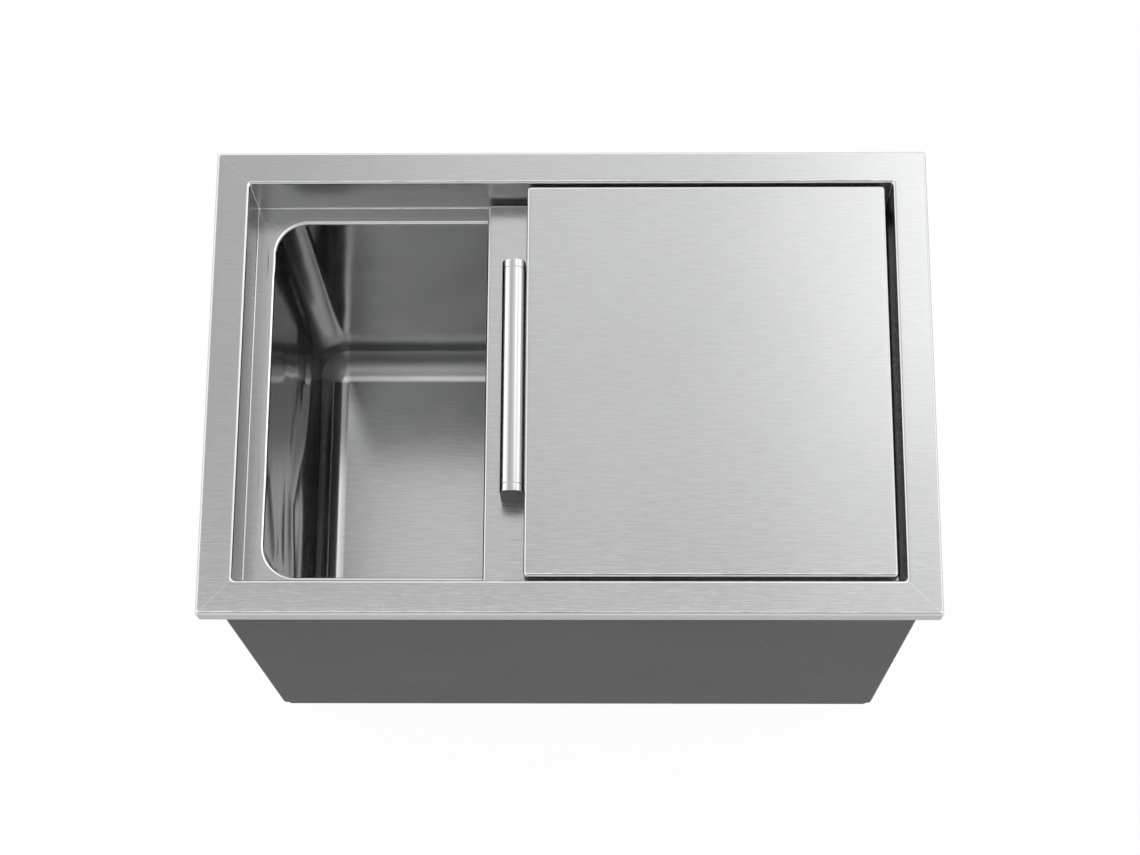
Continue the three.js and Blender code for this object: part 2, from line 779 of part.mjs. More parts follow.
// A cylinder that stands where each of the handle's screws does.
function screwCutters(handleX, radius, bottom, top) {
  return FOOT_PLACES.map(([, end, inward]) => {
    const y = end + (inward * HANDLE_FOOT_THICKNESS) / 2;
    return cylinder(radius, bottom, top, SMALL_SEGMENTS).translate(handleX, y, 0);
  });
}

// The foot's outline: straight sides under a half circle, with its base at level 0.
function footShape() {
  const radius = HANDLE_DIAMETER / 2;
  const shape = new THREE.Shape();
  shape.moveTo(-radius, 0);
  shape.lineTo(radius, 0);
  shape.lineTo(radius, HANDLE_HEIGHT - radius);
  shape.absarc(0, HANDLE_HEIGHT - radius, radius, 0, Math.PI, false);
  return shape;
}

function handleFoot(where, end, inward) {
  const depth = HANDLE_FOOT_THICKNESS - 2 * HANDLE_EDGE;
  const foot = new THREE.ExtrudeGeometry(footShape(), {
    depth,
    curveSegments: ROUND_SEGMENTS / 2,
    bevelThickness: HANDLE_EDGE,
    bevelSize: HANDLE_EDGE,
    bevelOffset: -HANDLE_EDGE,
    bevelSegments: 1,
  });
  foot.rotateX(Math.PI / 2).translate(0, depth / 2, 0);
  const hole = cylinder(
    SCREW_DIAMETER / 2 + SCREW_HOLE_GAP,
    -CUT_OVERRUN,
    SCREW_LENGTH,
    SMALL_SEGMENTS,
  );
  const y = end + (inward * HANDLE_FOOT_THICKNESS) / 2;
  const geometry = cut(foot, [hole]).translate(0, y, PANEL_TOP);
  return piece(`handle_foot_${where}`, geometry, "polishedSteel");
}

function handleBar() {
  const radius = HANDLE_DIAMETER / 2;
  const half = HANDLE_LENGTH / 2 - HANDLE_FOOT_THICKNESS - WELD_GAP;
  const profile = [
    point(0, -half),
    point(radius - HANDLE_EDGE, -half),
    point(radius, -half + HANDLE_EDGE),
    point(radius, half - HANDLE_EDGE),
    point(radius - HANDLE_EDGE, half),
    point(0, half),
  ];
  const bar = revolve(profile).rotateX(-Math.PI / 2);
  bar.translate(0, HANDLE_SHIFT, PANEL_TOP + HANDLE_HEIGHT - radius);
  return piece("handle_bar", bar, "polishedSteel");
}

// A pan-head screw with a socket in its head, driven up through the skin into the foot.
function handleScrew(where, end, inward) {
  const headTop = PANEL_TOP - COVER_SHEET - WELD_GAP;
  const headBottom = headTop - SCREW_HEAD_HEIGHT;
  const socket = SCREW_SOCKET_DIAMETER / 2;
  const profile = [
    point(0, headBottom + SCREW_SOCKET_DEPTH),
    point(socket, headBottom + SCREW_SOCKET_DEPTH),
    point(socket, headBottom),
    point(SCREW_HEAD_DIAMETER / 2 - HANDLE_EDGE, headBottom),
    point(SCREW_HEAD_DIAMETER / 2, headBottom + HANDLE_EDGE),
    point(SCREW_HEAD_DIAMETER / 2, headTop),
    point(SCREW_DIAMETER / 2, headTop),
    point(SCREW_DIAMETER / 2, headTop + SCREW_LENGTH),
    point(0, headTop + SCREW_LENGTH),
  ];
  const y = end + (inward * HANDLE_FOOT_THICKNESS) / 2;
  const screw = revolve(profile, SMALL_SEGMENTS).translate(0, y, 0);
  return piece(`handle_screw_${where}`, screw, "polishedSteel");
}

function slidingPanel() {
  const panelCentreX = PANEL_LEFT_EDGE + PANEL_LENGTH / 2;
  const handleX = HANDLE_CENTRE_X - panelCentreX;
  const holeRadius = SCREW_DIAMETER / 2 + SCREW_HOLE_GAP;
  const pocketRadius = SCREW_HEAD_DIAMETER / 2 + FOAM_GAP;
  const pocketBottom = PANEL_TOP - COVER_SHEET - SCREW_HEAD_HEIGHT - 2 * FOAM_GAP;
  const overPanel = PANEL_TOP + CUT_OVERRUN;
  const panel = new THREE.Group();
  panel.position.x = panelCentreX;
  panel.add(
    ...cover("panel", {
      halfLength: PANEL_LENGTH / 2,
      halfWidth: PANEL_HALF_WIDTH,
      corner: PANEL_CORNER,
      bottom: PANEL_BOTTOM,
      top: PANEL_TOP,
      skinCuts: screwCutters(handleX, holeRadius, PANEL_TOP - CUT_OVERRUN, overPanel),
      coreCuts: screwCutters(handleX, pocketRadius, pocketBottom, overPanel),
    }),
    ...panelGlides(),
  );
  const handle = new THREE.Group();
  handle.position.x = handleX;
  handle.add(
    handleBar(),
    ...FOOT_PLACES.map((place) => handleFoot(...place)),
    ...FOOT_PLACES.map((place) => handleScrew(...place)),
  );
  panel.add(handle);
  return panel;
}

// Drain

const FLANGE_BASE = SEAT_TOP + FLOOR_GASKET_THICKNESS;
const DRAIN_TOP = FLANGE_BASE + DRAIN_FLANGE_THICKNESS;
const CUP_MOUTH_RADIUS = DRAIN_CUP_RADIUS - DRAIN_CUP_WALL;
const STRAINER_SEAT = DRAIN_TOP - DRAIN_CUP_DEPTH;

function drainBody() {
  const cupBottom = STRAINER_SEAT - DRAIN_CUP_FLOOR;
  const cupFoot = CUP_MOUTH_RADIUS - DRAIN_CUP_TAPER;
  const profile = closedProfile([
    point(DRAIN_BORE_RADIUS, SPOUT_END),
    point(DRAIN_SPOUT_RADIUS - DRAIN_SPOUT_CHAMFER, SPOUT_END),
    point(DRAIN_SPOUT_RADIUS, SPOUT_END + DRAIN_SPOUT_CHAMFER),
    point(DRAIN_SPOUT_RADIUS, cupBottom),
    point(DRAIN_CUP_RADIUS, cupBottom),
    point(DRAIN_CUP_RADIUS, FLANGE_BASE),
    point(DRAIN_FLANGE_RADIUS, FLANGE_BASE),
    point(DRAIN_FLANGE_RADIUS, FLANGE_BASE + DRAIN_FLANGE_THICKNESS / 2),
    point(DRAIN_FLANGE_RADIUS - DRAIN_FLANGE_THICKNESS / 2, DRAIN_TOP),
    point(CUP_MOUTH_RADIUS, DRAIN_TOP),
    point(cupFoot, STRAINER_SEAT),
    point(cupFoot - DRAIN_STEP, STRAINER_SEAT),
    point(DRAIN_BORE_RADIUS, cupBottom),
  ]);
  return piece("drain_body", revolve(profile), "polishedSteel");
}

function ringWasher(name, inner, outer, bottom, top) {
  const profile = closedProfile([
    point(inner, bottom),
    point(outer, bottom),
    point(outer, top),
    point(inner, top),
  ]);
  return piece(name, revolve(profile), "rubber");
}

// A thin disc with a middle hole and rings of holes, lying on the step in the cup.
function drainStrainer() {
  const top = STRAINER_SEAT + STRAINER_THICKNESS;
  const hole = () =>
    cylinder(
      STRAINER_HOLE_DIAMETER / 2,
      STRAINER_SEAT - CUT_OVERRUN,
      top + CUT_OVERRUN,
      HOLE_SEGMENTS,
    );
  const holes = STRAINER_RING_RADII.flatMap((radius, ring) => {
    const count = STRAINER_RING_COUNTS[ring];
    return Array.from({ length: count }, (_, i) =>
      hole()
        .translate(radius, 0, 0)
        .rotateZ((2 * Math.PI * i) / count),
    );
  });
  const radius = CUP_MOUTH_RADIUS - DRAIN_CUP_TAPER - FIT_GAP;
  const disc = cylinder(radius, STRAINER_SEAT, top);
  return piece("drain_strainer", cut(disc, [hole(), ...holes]), "brushedSteel");
}

// A rubber stopper: tapered body in the cup, lip on the flange and a knob to pull.
function drainPlug() {
  const bodyTaper = (DRAIN_CUP_TAPER * PLUG_DEPTH) / DRAIN_CUP_DEPTH;
  const bodyRadius = CUP_MOUTH_RADIUS - FIT_GAP;
  const lipTop = DRAIN_TOP + PLUG_LIP_THICKNESS;
  const neckTop = lipTop + PLUG_NECK_HEIGHT;
  const knobTop = neckTop + PLUG_KNOB_HEIGHT;
  const knobEdge = PLUG_KNOB_HEIGHT / 3;
  const profile = [
    point(0, DRAIN_TOP - PLUG_DEPTH),
    point(bodyRadius - bodyTaper, DRAIN_TOP - PLUG_DEPTH),
    point(bodyRadius, DRAIN_TOP),
    point(PLUG_LIP_RADIUS, DRAIN_TOP),
    point(PLUG_LIP_RADIUS, DRAIN_TOP + PLUG_LIP_THICKNESS / 2),
    point(PLUG_LIP_RADIUS - PLUG_LIP_THICKNESS / 2, lipTop),
    point(PLUG_NECK_RADIUS, lipTop),
    point(PLUG_NECK_RADIUS, neckTop),
    point(PLUG_KNOB_RADIUS, neckTop + knobEdge),
    point(PLUG_KNOB_RADIUS, knobTop - knobEdge),
    point(PLUG_KNOB_RADIUS - knobEdge, knobTop),
    point(0, knobTop),
  ];
  return piece("drain_plug", revolve(profile), "rubber");
}

// A hexagon nut, chamfered at its outer face by a cone.
function lockNut() {
  const bottom = NUT_SEAT - LOCK_NUT_HEIGHT;
  const overTop = NUT_SEAT + CUT_OVERRUN;
  const cornerRadius = LOCK_NUT_ACROSS / Math.sqrt(3);
  const outline = Array.from({ length: 6 }, (_, i) => {
    const angle = (Math.PI / 3) * i;
    return point(cornerRadius * Math.cos(angle), cornerRadius * Math.sin(angle));
  });
  const hexagon = manifoldOf(prism(outline, bottom, NUT_SEAT));
  const chamfer = revolve([
    point(0, bottom),
    point(cornerRadius - LOCK_NUT_CHAMFER, bottom),
    point(cornerRadius + LOCK_NUT_CHAMFER, bottom + 2 * LOCK_NUT_CHAMFER),
    point(cornerRadius + LOCK_NUT_CHAMFER, overTop),
    point(0, overTop),
  ]);
  const threadRadius = DRAIN_SPOUT_RADIUS + FIT_GAP;
  const hole = cylinder(threadRadius, bottom - CUT_OVERRUN, overTop);
  const nut = hexagon.intersect(manifoldOf(chamfer)).subtract(manifoldOf(hole));
  return piece("drain_lock_nut", geometryFrom(nut), "polishedSteel");
}

function drain() {
  const group = new THREE.Group();
  const cupHole = DRAIN_CUP_RADIUS + FIT_GAP;
  const spoutHole = DRAIN_SPOUT_RADIUS + FIT_GAP;
  group.add(
    drainBody(),
    ringWasher("drain_floor_gasket", cupHole, DRAIN_FLANGE_RADIUS, SEAT_TOP, FLANGE_BASE),
    drainStrainer(),
    drainPlug(),
    ringWasher("drain_outer_gasket", spoutHole, OUTER_GASKET_RADIUS, NUT_SEAT, PAN_SEAT),
    lockNut(),
  );
  return group;
}

// One named mesh with its finish.
function piece(name, geometry, finish) {
  const mesh = new THREE.Mesh(geometry, new THREE.MeshStandardMaterial(FINISHES[finish]));
  mesh.name = name;
  return mesh;
}

const iceBin = new THREE.Group();
iceBin.add(
  ...rimPieces(),
  basin(),
  casingWrap(),
  casingBack(),
  casingBottom(),
  insulation(),
  ...lidRails(),
  upperLid(),
  slidingPanel(),
  drain(),
);

export default iceBin;
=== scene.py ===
"""Looks of a drop-in ice bin: finishes, fine pieces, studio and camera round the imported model."""

import math

import bmesh
import bpy
from mathutils import Matrix, Vector, noise


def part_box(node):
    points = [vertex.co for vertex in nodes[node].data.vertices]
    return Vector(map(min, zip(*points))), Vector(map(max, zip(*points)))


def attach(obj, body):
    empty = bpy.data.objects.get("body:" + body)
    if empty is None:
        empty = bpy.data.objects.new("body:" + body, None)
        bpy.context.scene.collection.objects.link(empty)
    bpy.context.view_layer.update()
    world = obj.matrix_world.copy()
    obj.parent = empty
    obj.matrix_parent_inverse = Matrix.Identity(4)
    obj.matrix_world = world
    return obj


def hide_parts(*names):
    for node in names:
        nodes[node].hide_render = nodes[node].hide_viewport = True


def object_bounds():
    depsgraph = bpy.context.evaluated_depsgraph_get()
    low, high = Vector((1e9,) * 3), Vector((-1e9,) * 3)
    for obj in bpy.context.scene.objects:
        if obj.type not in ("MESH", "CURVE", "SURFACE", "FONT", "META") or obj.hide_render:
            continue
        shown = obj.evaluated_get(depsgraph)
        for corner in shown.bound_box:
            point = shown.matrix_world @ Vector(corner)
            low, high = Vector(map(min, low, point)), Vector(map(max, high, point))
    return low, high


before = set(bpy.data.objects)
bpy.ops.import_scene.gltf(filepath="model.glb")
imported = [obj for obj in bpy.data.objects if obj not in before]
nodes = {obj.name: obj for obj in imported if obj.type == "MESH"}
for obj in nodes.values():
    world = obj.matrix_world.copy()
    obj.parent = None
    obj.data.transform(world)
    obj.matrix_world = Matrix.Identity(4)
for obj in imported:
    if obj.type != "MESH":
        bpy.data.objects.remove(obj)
cad_low, cad_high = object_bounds()

MM = 0.001
WHITE = (1, 1, 1, 1)

# Camera: where it stands, where it looks and its lens, as the photograph was taken
CAMERA_PLACE = Vector((0.0269, -0.4729, 1.4672))
CAMERA_PITCH = math.radians(73.12)
CAMERA_HEADING = math.radians(3.45)
CAMERA_ROLL = math.radians(-3.33)
CAMERA_LENS = 76.86
SENSOR_WIDTH = 36
GLOSSY_BOUNCES = 10

# Studio: white walls, dimmer in front, and a grey ceiling with a bright strip along X and a dark
# gap round the camera. Tops, starts and depths are parts of a unit direction, and the gap's half
# sizes are slopes.
WALL_LIGHT = 1.5
WALL_TOP = 0.45
CEILING_LIGHT = 0.55
CEILING_START = 0.94
STRIP_LIGHT = 1.4
STRIP_DEPTHS = (0.03, 0.18)
FRONT_DIM_SHARE = 0.4
FRONT_DIM_DEPTHS = (-0.8, -0.3)
CAMERA_GAP_SHARE = 0.95
CAMERA_GAP_INNER_SHARE = 0.25
CAMERA_GAP_HALF_LENGTH = 0.145
CAMERA_GAP_HALF_WIDTH = 0.26

# Lamp overhead: its shares are of its length from the left and of its width from the front
OVERHEAD_PLACE = Vector((0.15, 0.42, 1.0))
OVERHEAD_LENGTH = 1.2
OVERHEAD_WIDTH = 1.1
OVERHEAD_MAIN_LIGHT = 0.32
OVERHEAD_RIGHT_LIGHT = 0.61
OVERHEAD_LEFT_FADE_SHARE = 0.4
OVERHEAD_FRONT_FADE_SHARE = 0.58
OVERHEAD_RIGHT_SHARES = (0.45, 0.72)
OVERHEAD_FRONT_KEPT_SHARE = 0.1

# Floor of the studio
FLOOR_REACH = 8.0
FLOOR_WHITE = (0.9, 0.9, 0.9, 1)
FLOOR_SEEN_SHARE = 0.96
FLOOR_MIRRORED_SHARE = 0.9

# Meshes: the grids of rounded rectangles are spans of half a short side, steps of a corner and
# spans of half a long side
SMALLEST_CORNER = 0.1 * MM
MERGE_DISTANCE = 0.001 * MM
SMOOTH_ANGLE = math.radians(32)
RIM_GRID = (24, 12, 36)
COVER_GRID = (1, 10, 1)
BASIN_GRID = (30, 20, 34)

# Rim: sheet, bends and welded corners
RIM_SHEET = 1.5 * MM
RIM_BEND = 0.5 * MM
LEDGE_BEND = 1 * MM
RIM_BEND_STEPS = 8
FLANGE_WIDTH = 21.7 * MM
LIP_RETURN = 8 * MM
RIM_CORNER = 1.5 * MM
RECESS_CORNER = 2.4 * MM
RECESS_FOOT_CORNER = 0.8 * MM
RECESS_WELD_DEPTH = 7 * MM
WELD_GAP = 0.05 * MM
SHEET_SPAN = 5 * MM
RIM_NODES = ["rim_front", "rim_right", "rim_back", "rim_left"]

# Covers
COVER_SHEET = 1 * MM
COVER_BEND = 1.2 * MM
COVER_BEND_STEPS = 10
COVER_CORNER = 2.5 * MM
COVERS = [("lid_skin", "upper_lid", "upper_lid_skin"), ("panel_top", "sliding_panel", "panel_skin")]

# Basin
BASIN_SHEET = 1.2 * MM
BASIN_LIP_WIDTH = 5 * MM
BASIN_LIP_BEND = 2 * MM
BASIN_LIP_STEPS = 6
BASIN_WALL_SPANS = 56
BASIN_CORNER = 21 * MM
BASIN_FLOOR_BEND = 20 * MM
BASIN_BEND_STEPS = 36
BASIN_FLOOR_FALL = 2 * MM
FLOOR_FALL_RADIUS = 62 * MM
DRAIN_SEAT_RADIUS = 30 * MM
DRAIN_SEAT_SLOPE = 3 * MM
DRAIN_SEAT_DEPTH = 3.5 * MM
DRAIN_HOLE_RADIUS = 21.4 * MM

# Unevenness of the basin: soft waves with finer ripples, marks of the brake, and the ridges of the
# left wall, each as a line of (y, z) places, a half width and a height, all in millimetres
SIDE_WALL_WAVE = 0.3 * MM
END_WALL_WAVE = 1.4 * MM
END_WALL_REACH = 3 * BASIN_CORNER
WAVE_CORNER_START = 0.8 * BASIN_CORNER
WAVE_CORNER_END = 2 * BASIN_CORNER
WALL_WAVE_HEIGHT = 60 * MM
WALL_WAVE_LENGTH = 110 * MM
WAVE_BIAS_SHARE = 0.3
RIPPLE_SHARE = 0.3
RIPPLES_PER_WAVE = 2.7
BRAKE_MARK = 0.09 * MM
BRAKE_MARK_COUNT = 5
LEFT_WALL_RIDGES = [
    ([(75, -220), (40, -207), (10, -180), (-37, -144), (-88, -160)], 14, 1.3),
    ([(42, -89), (68, -180)], 9, 0.8),
    ([(102, -34), (90, -24)], 5, 0.35),
    ([(-54, -42), (-90, -72)], 12, 0.9),
]

# Handle
HANDLE_EDGE = 0.35 * MM
BAR_SEGMENTS = 96
BAR_EDGE_STEPS = 4
BAR_MIDDLE_SHARE = 0.02
FOOT_BULGE = 0.3 * MM
FOOT_TOE = 2.4 * MM
FOOT_EDGE_STEPS = 3
FOOT_TOE_STEPS = 6
FOOT_ARC_STEPS = 40

# Noise: octaves, and how strong each finer octave is beside the one before it. Clouds, pits, cells,
# specks and the like are counted per metre.
COARSE_OCTAVES = 2.0
FINE_OCTAVES = 3.0
SOFT_NOISE_SHARE = 0.5
CRISP_NOISE_SHARE = 0.6
HARSH_NOISE_SHARE = 0.7

# Steel
STEEL = (0.645, 0.65, 0.655)
GLOSSY_STEEL = (0.665, 0.67, 0.675)
# Painted shade: the basin's end walls get this darker colour
END_WALL_PAINTED_SHADE_STEEL = (0.36, 0.365, 0.37)
BAR_STEEL = (0.70, 0.705, 0.71)
GRAZING_TINT = (0.6, 0.6, 0.6, 1)
BASIN_GRAZING_TINT = (0.75, 0.75, 0.75, 1)

# Brushed sheet: its roughness is what is plain and what streaks, clouds and upright faces add
BRUSH_LENGTH = 14 * MM
BRUSH_PITCH = 0.42 * MM
BRUSH_DEPTH = 0.036 * MM
STREAK_PITCH = 0.9 * MM
STREAK_DEPTH_SHARE = 0.3
STREAK_TONE_SHARE = 0.7
SHEET_CLOUDS = 8
SHEET_TONE_SHARES = (0.3, 0.7)
SHEET_DARK_SHARE = 0.96
SHEET_LIGHT_SHARE = 1.03
SHEET_ROUGHNESS = (0.13, 0.04, 0.03, 0.1)
FACING_WALL_SHARE = 0.7
UPRIGHT_SHARES = (0.2, 0.6)
SEAM_WIDTH = 0.5 * MM
SEAM_CORE_SHARE = 0.4
SEAM_TINT_SHARE = 0.3
SEAM_LIGHT_SHARE = 1.2
SEAM_ROUGHNESS = 0.06

# Polished steel: its roughness is what is plain and what draw marks and clouds add
DRAW_MARK_LENGTH = 40 * MM
DRAW_MARK_PITCH = 0.7 * MM
DRAW_MARK_DEPTH = 0.0012 * MM
DRAW_MARK_DARK_SHARE = 0.96
POLISH_CLOUDS = 60
HANDLE_ROUGHNESS = (0.05, 0.03, 0.03)
# Painted shade on the handle's ends, which face Y
HANDLE_END_PAINTED_SHADE_SHARE = 0.5
DRAIN_ROUGHNESS = (0.14, 0.03, 0.03)
BAR_END_SHARES = (0.8, 0.95)

# Basin steel: its roughness is what is plain and what clouds and the floor add, a side bend's is
# what all of it and its upper part add, and a ground weld's what all of it and its pits add
BASIN_LINE_LENGTH = 24 * MM
BASIN_LINE_PITCH = 0.35 * MM
BASIN_LINE_DEPTH = 0.018 * MM
BASIN_STREAK_LENGTH = 18 * MM
BASIN_STREAK_PITCH = 1.2 * MM
BASIN_STREAK_DEPTH_SHARE = 0.4
BASIN_CLOUDS = 22
BASIN_TONE_SHARES = (0.3, 0.75)
BASIN_DARK_SHARE = 0.95
BASIN_LIGHT_SHARE = 1.04
# Painted light: the basin's end bends and upper side bends are lightened in colour by this share
BEND_PAINTED_LIGHT_SHARE = 1.35
WALL_GRAIN_SHARE = 0.35
BASIN_ROUGHNESS = (0.09, 0.04, 0.08)
SIDE_BEND_ROUGHNESS = (0.14, 0.12)
GROUND_ROUGHNESS = (0.06, 0.14)
GROUND_INSET = 8 * MM
GROUND_HEIGHT = 9 * MM
GROUND_HEIGHT_SHARE = 0.5
GROUND_CORE = 7 * MM
GROUND_EDGE = 13 * MM
GROUND_PITS = 500
GROUND_DEPTH = 0.25 * MM

# Where the basin's faces lie, by how far they face an axis
FLOOR_FACING_SHARES = (0.05, 0.4)
END_FACING_SHARES = (0.75, 0.97)
END_BEND_FACING_SHARES = (0.1, 0.3)
SIDE_BEND_FACING_SHARES = (0.02, 0.08)
SIDE_BEND_RISE_SHARES = (0.01, 0.15)
PAINTED_LIGHT_BEND_RISE_SHARES = (0.7, 0.9)
ROUGH_BEND_RISE_SHARES = (0.75, 0.93)

# Casing: coated sheet, with its roughness as what is plain and what the peel adds
CASING_DARK = (0.024, 0.025, 0.026)
CASING_LIGHT = (0.052, 0.053, 0.055)
CASING_SPECK = (0.14, 0.14, 0.145)
CASING_PEEL = 750
CASING_PEEL_DEPTH = 0.06 * MM
CASING_PEEL_SHARE = 0.75
CASING_SPECKS = 1100
CASING_SPECK_SHARES = (0.58, 0.7)
CASING_SPECK_TINT_SHARE = 0.5
CASING_SPECK_DEPTH_SHARE = 0.4
CASING_CLOUDS = 9
CASING_TONE_SHARES = (0.35, 0.65)
CASING_METALLIC = 0.35
CASING_SPECULAR = 0.25
CASING_ROUGHNESS = (0.46, 0.16)

# Foam
FOAM_DARK = (0.78, 0.71, 0.52)
FOAM_LIGHT = (0.86, 0.8, 0.63)
FOAM_CELLS = 900
FOAM_CELL_DEPTH = 0.3 * MM
FOAM_CLOUDS = 30
FOAM_ROUGHNESS = (0.85, 0.1)

# Rubber
RUBBER_BLACK = (0.016, 0.016, 0.017)
RUBBER_BLOOM = (0.05, 0.05, 0.052)
RUBBER_BLOOM_SHARES = (0.4, 0.8)
RUBBER_CLOUDS = 60
RUBBER_GRAIN = 1200
RUBBER_GRAIN_DEPTH = 0.02 * MM
RUBBER_ROUGHNESS = (0.55, 0.2)

# Plastic
PLASTIC_DARK = (0.74, 0.74, 0.72)
PLASTIC_LIGHT = (0.86, 0.86, 0.84)
PLASTIC_WEAR_LENGTH = 30 * MM
PLASTIC_WEAR_PITCH = 0.6 * MM
PLASTIC_WEAR_DEPTH = 0.01 * MM
PLASTIC_MILKINESS = 0.1
PLASTIC_ROUGHNESS = (0.3, 0.2)


# Shader maths

class Value:
    """A shader socket that adds its Math nodes when it is used in an expression."""

    def __init__(self, graph, socket):
        self.graph = graph
        self.socket = socket

    def __add__(self, other):
        return self.graph.math("ADD", self, other)

    def __radd__(self, other):
        return self.graph.math("ADD", other, self)

    def __sub__(self, other):
        return self.graph.math("SUBTRACT", self, other)

    def __rsub__(self, other):
        return self.graph.math("SUBTRACT", other, self)

    def __mul__(self, other):
        return self.graph.math("MULTIPLY", self, other)

    def __rmul__(self, other):
        return self.graph.math("MULTIPLY", other, self)

    def __truediv__(self, other):
        return self.graph.math("DIVIDE", self, other)

    def __rtruediv__(self, other):
        return self.graph.math("DIVIDE", other, self)

    def __gt__(self, other):
        return self.graph.math("GREATER_THAN", self, other)

    def __abs__(self):
        return self.graph.math("ABSOLUTE", self)


class Graph:
    """A node tree with one method that adds a node of any type."""

    def __init__(self, tree):
        self.tree = tree
        tree.nodes.clear()

    def node(self, kind, settings=None, inputs=None, output=0):
        """Adds a node, and gives the value of the output that is named or numbered, or a list of
        values where the output is a tuple of names."""
        made = self.tree.nodes.new(kind)
        for name, value in (settings or {}).items():
            setattr(made, name, value)
        for key, value in (inputs or {}).items():
            socket = made.inputs[key]
            if isinstance(value, Value):
                self.tree.links.new(value.socket, socket)
            else:
                socket.default_value = value
        if isinstance(output, tuple):
            return [Value(self, made.outputs[name]) for name in output]
        return Value(self, made.outputs[output]) if len(made.outputs) else None

    def math(self, operation, *values):
        return self.node("ShaderNodeMath", {"operation": operation}, dict(enumerate(values)))

    def parts(self, vector):
        """The X, Y and Z values of a vector."""
        return self.node("ShaderNodeSeparateXYZ", inputs={0: vector}, output=("X", "Y", "Z"))

    def vector(self, x, y, z):
        return self.node("ShaderNodeCombineXYZ", inputs={0: x, 1: y, 2: z})

    def coordinates(self, output="Object"):
        return self.node("ShaderNodeTexCoord", output=output)

    def facing(self):
        """How far the surface faces along X, Y and Z, either way, each from 0 to 1."""
        return [abs(part) for part in self.parts(self.coordinates("Normal"))]

    def rise(self, value, start, end, low=0.0, high=1.0):
        """A smooth change from low to high while the value goes from start to end."""
        return self.node(
            "ShaderNodeMapRange",
            {"interpolation_type": "SMOOTHSTEP"},
            {"Value": value, "From Min": start, "From Max": end, "To Min": low, "To Max": high},
        )

    def fall(self, value, start, end):
        """A smooth change from 1 to 0 while the value goes from start to end."""
        return self.rise(value, start, end, 1.0, 0.0)

    def blend(self, share, first, second):
        """A colour between two colours. A Mix node's sockets for colours go by their numbers."""
        return self.node(
            "ShaderNodeMix",
            {"data_type": "RGBA"},
            {0: share, 6: colour(first), 7: colour(second)},
            output=2,
        )

    def noise(self, vector, scale, octaves=COARSE_OCTAVES, fine_share=SOFT_NOISE_SHARE):
        return self.node(
            "ShaderNodeTexNoise",
            inputs={"Vector": vector, "Scale": scale, "Detail": octaves, "Roughness": fine_share},
        )

    def bump(self, height, depth, **under):
        """A relief of this depth, over another one where Normal says so."""
        return self.node("ShaderNodeBump", inputs={"Height": height, "Distance": depth, **under})


def colour(value):
    return value if isinstance(value, Value) else (*value[:3], 1)


def shade(base, share):
    """A colour made darker or lighter, and no lighter than white."""
    return tuple(min(1.0, part * share) for part in base)


def weighed(weights, *masks):
    """The first weight, and each other weight times its mask, in one sum."""
    total = weights[0]
    for weight, mask in zip(weights[1:], masks):
        total = total + weight * mask
    return total


def new_material(name):
    material = bpy.data.materials.new(name)
    material.use_nodes = True
    return material, Graph(material.node_tree)


def finish_material(graph, **sockets):
    """Ends a material in a Principled shader with these sockets."""
    inputs = {name.replace("_", " "): value for name, value in sockets.items()}
    inputs["Base Color"] = colour(inputs["Base Color"])
    shader = graph.node("ShaderNodeBsdfPrincipled", inputs=inputs)
    graph.node("ShaderNodeOutputMaterial", inputs={"Surface": shader})


def finish_steel(graph, tint, roughness, normal, grazing=GRAZING_TINT):
    """Ends a material as bare metal, which mirrors as the grazing tint says at flat angles."""
    finish_material(
        graph,
        Base_Color=tint,
        Metallic=1.0,
        Roughness=roughness,
        Specular_Tint=grazing,
        Normal=normal,
    )


# Metal finishes

def sheet_coordinates(graph):
    """Along and across the brushing on every face of a sheet that is brushed along X before it
    is folded: the lines go on down the walls that face X."""
    x, y, z = graph.parts(graph.coordinates())
    facing_x, facing_y, _ = graph.facing()
    end_wall = facing_x > FACING_WALL_SHARE
    side_wall = facing_y > FACING_WALL_SHARE
    along = x * (1 - end_wall) + z * end_wall
    across = y * (1 - side_wall) + z * side_wall
    return along, across


def brush_lines(graph, along, across, length, pitch, octaves):
    """Fine parallel lines, from 0 to 1, each about as long and as wide as given."""
    place = graph.vector(along / length, across / pitch, 0.0)
    return graph.noise(place, 1.0, octaves, CRISP_NOISE_SHARE)


def mitre_line(graph, half_length, half_width):
    """1 along the diagonals where the four sides of the rim are welded, 0 elsewhere."""
    x, y, _ = graph.parts(graph.coordinates())
    off_diagonal = abs((abs(x) - half_length) - (abs(y) - half_width))
    return graph.fall(off_diagonal, SEAM_WIDTH * SEAM_CORE_SHARE, SEAM_WIDTH)


def brushed_steel(name, mitre=None):
    """Stainless sheet with a linear grain along X: crisp along the lines, soft across them. A
    mitre is the half length and half width of a rim whose corners are welded and ground."""
    material, graph = new_material(name)
    along, across = sheet_coordinates(graph)
    fine = brush_lines(graph, along, across, BRUSH_LENGTH, BRUSH_PITCH, FINE_OCTAVES)
    streaks = brush_lines(graph, along, across, BRUSH_LENGTH, STREAK_PITCH, COARSE_OCTAVES)
    cloud = graph.noise(graph.coordinates(), SHEET_CLOUDS)
    tone = streaks * STREAK_TONE_SHARE + cloud * (1 - STREAK_TONE_SHARE)
    tint = graph.blend(
        graph.rise(tone, *SHEET_TONE_SHARES),
        shade(STEEL, SHEET_DARK_SHARE),
        shade(STEEL, SHEET_LIGHT_SHARE),
    )
    upright = graph.fall(graph.facing()[2], *UPRIGHT_SHARES)
    rough = weighed(SHEET_ROUGHNESS, streaks, cloud, upright)
    if mitre:
        seam = mitre_line(graph, *mitre)
        tint = graph.blend(seam * SEAM_TINT_SHARE, tint, shade(STEEL, SEAM_LIGHT_SHARE))
        rough = rough + SEAM_ROUGHNESS * seam
    relief = graph.bump(fine + STREAK_DEPTH_SHARE * streaks, BRUSH_DEPTH)
    finish_steel(graph, tint, rough, relief)
    return material


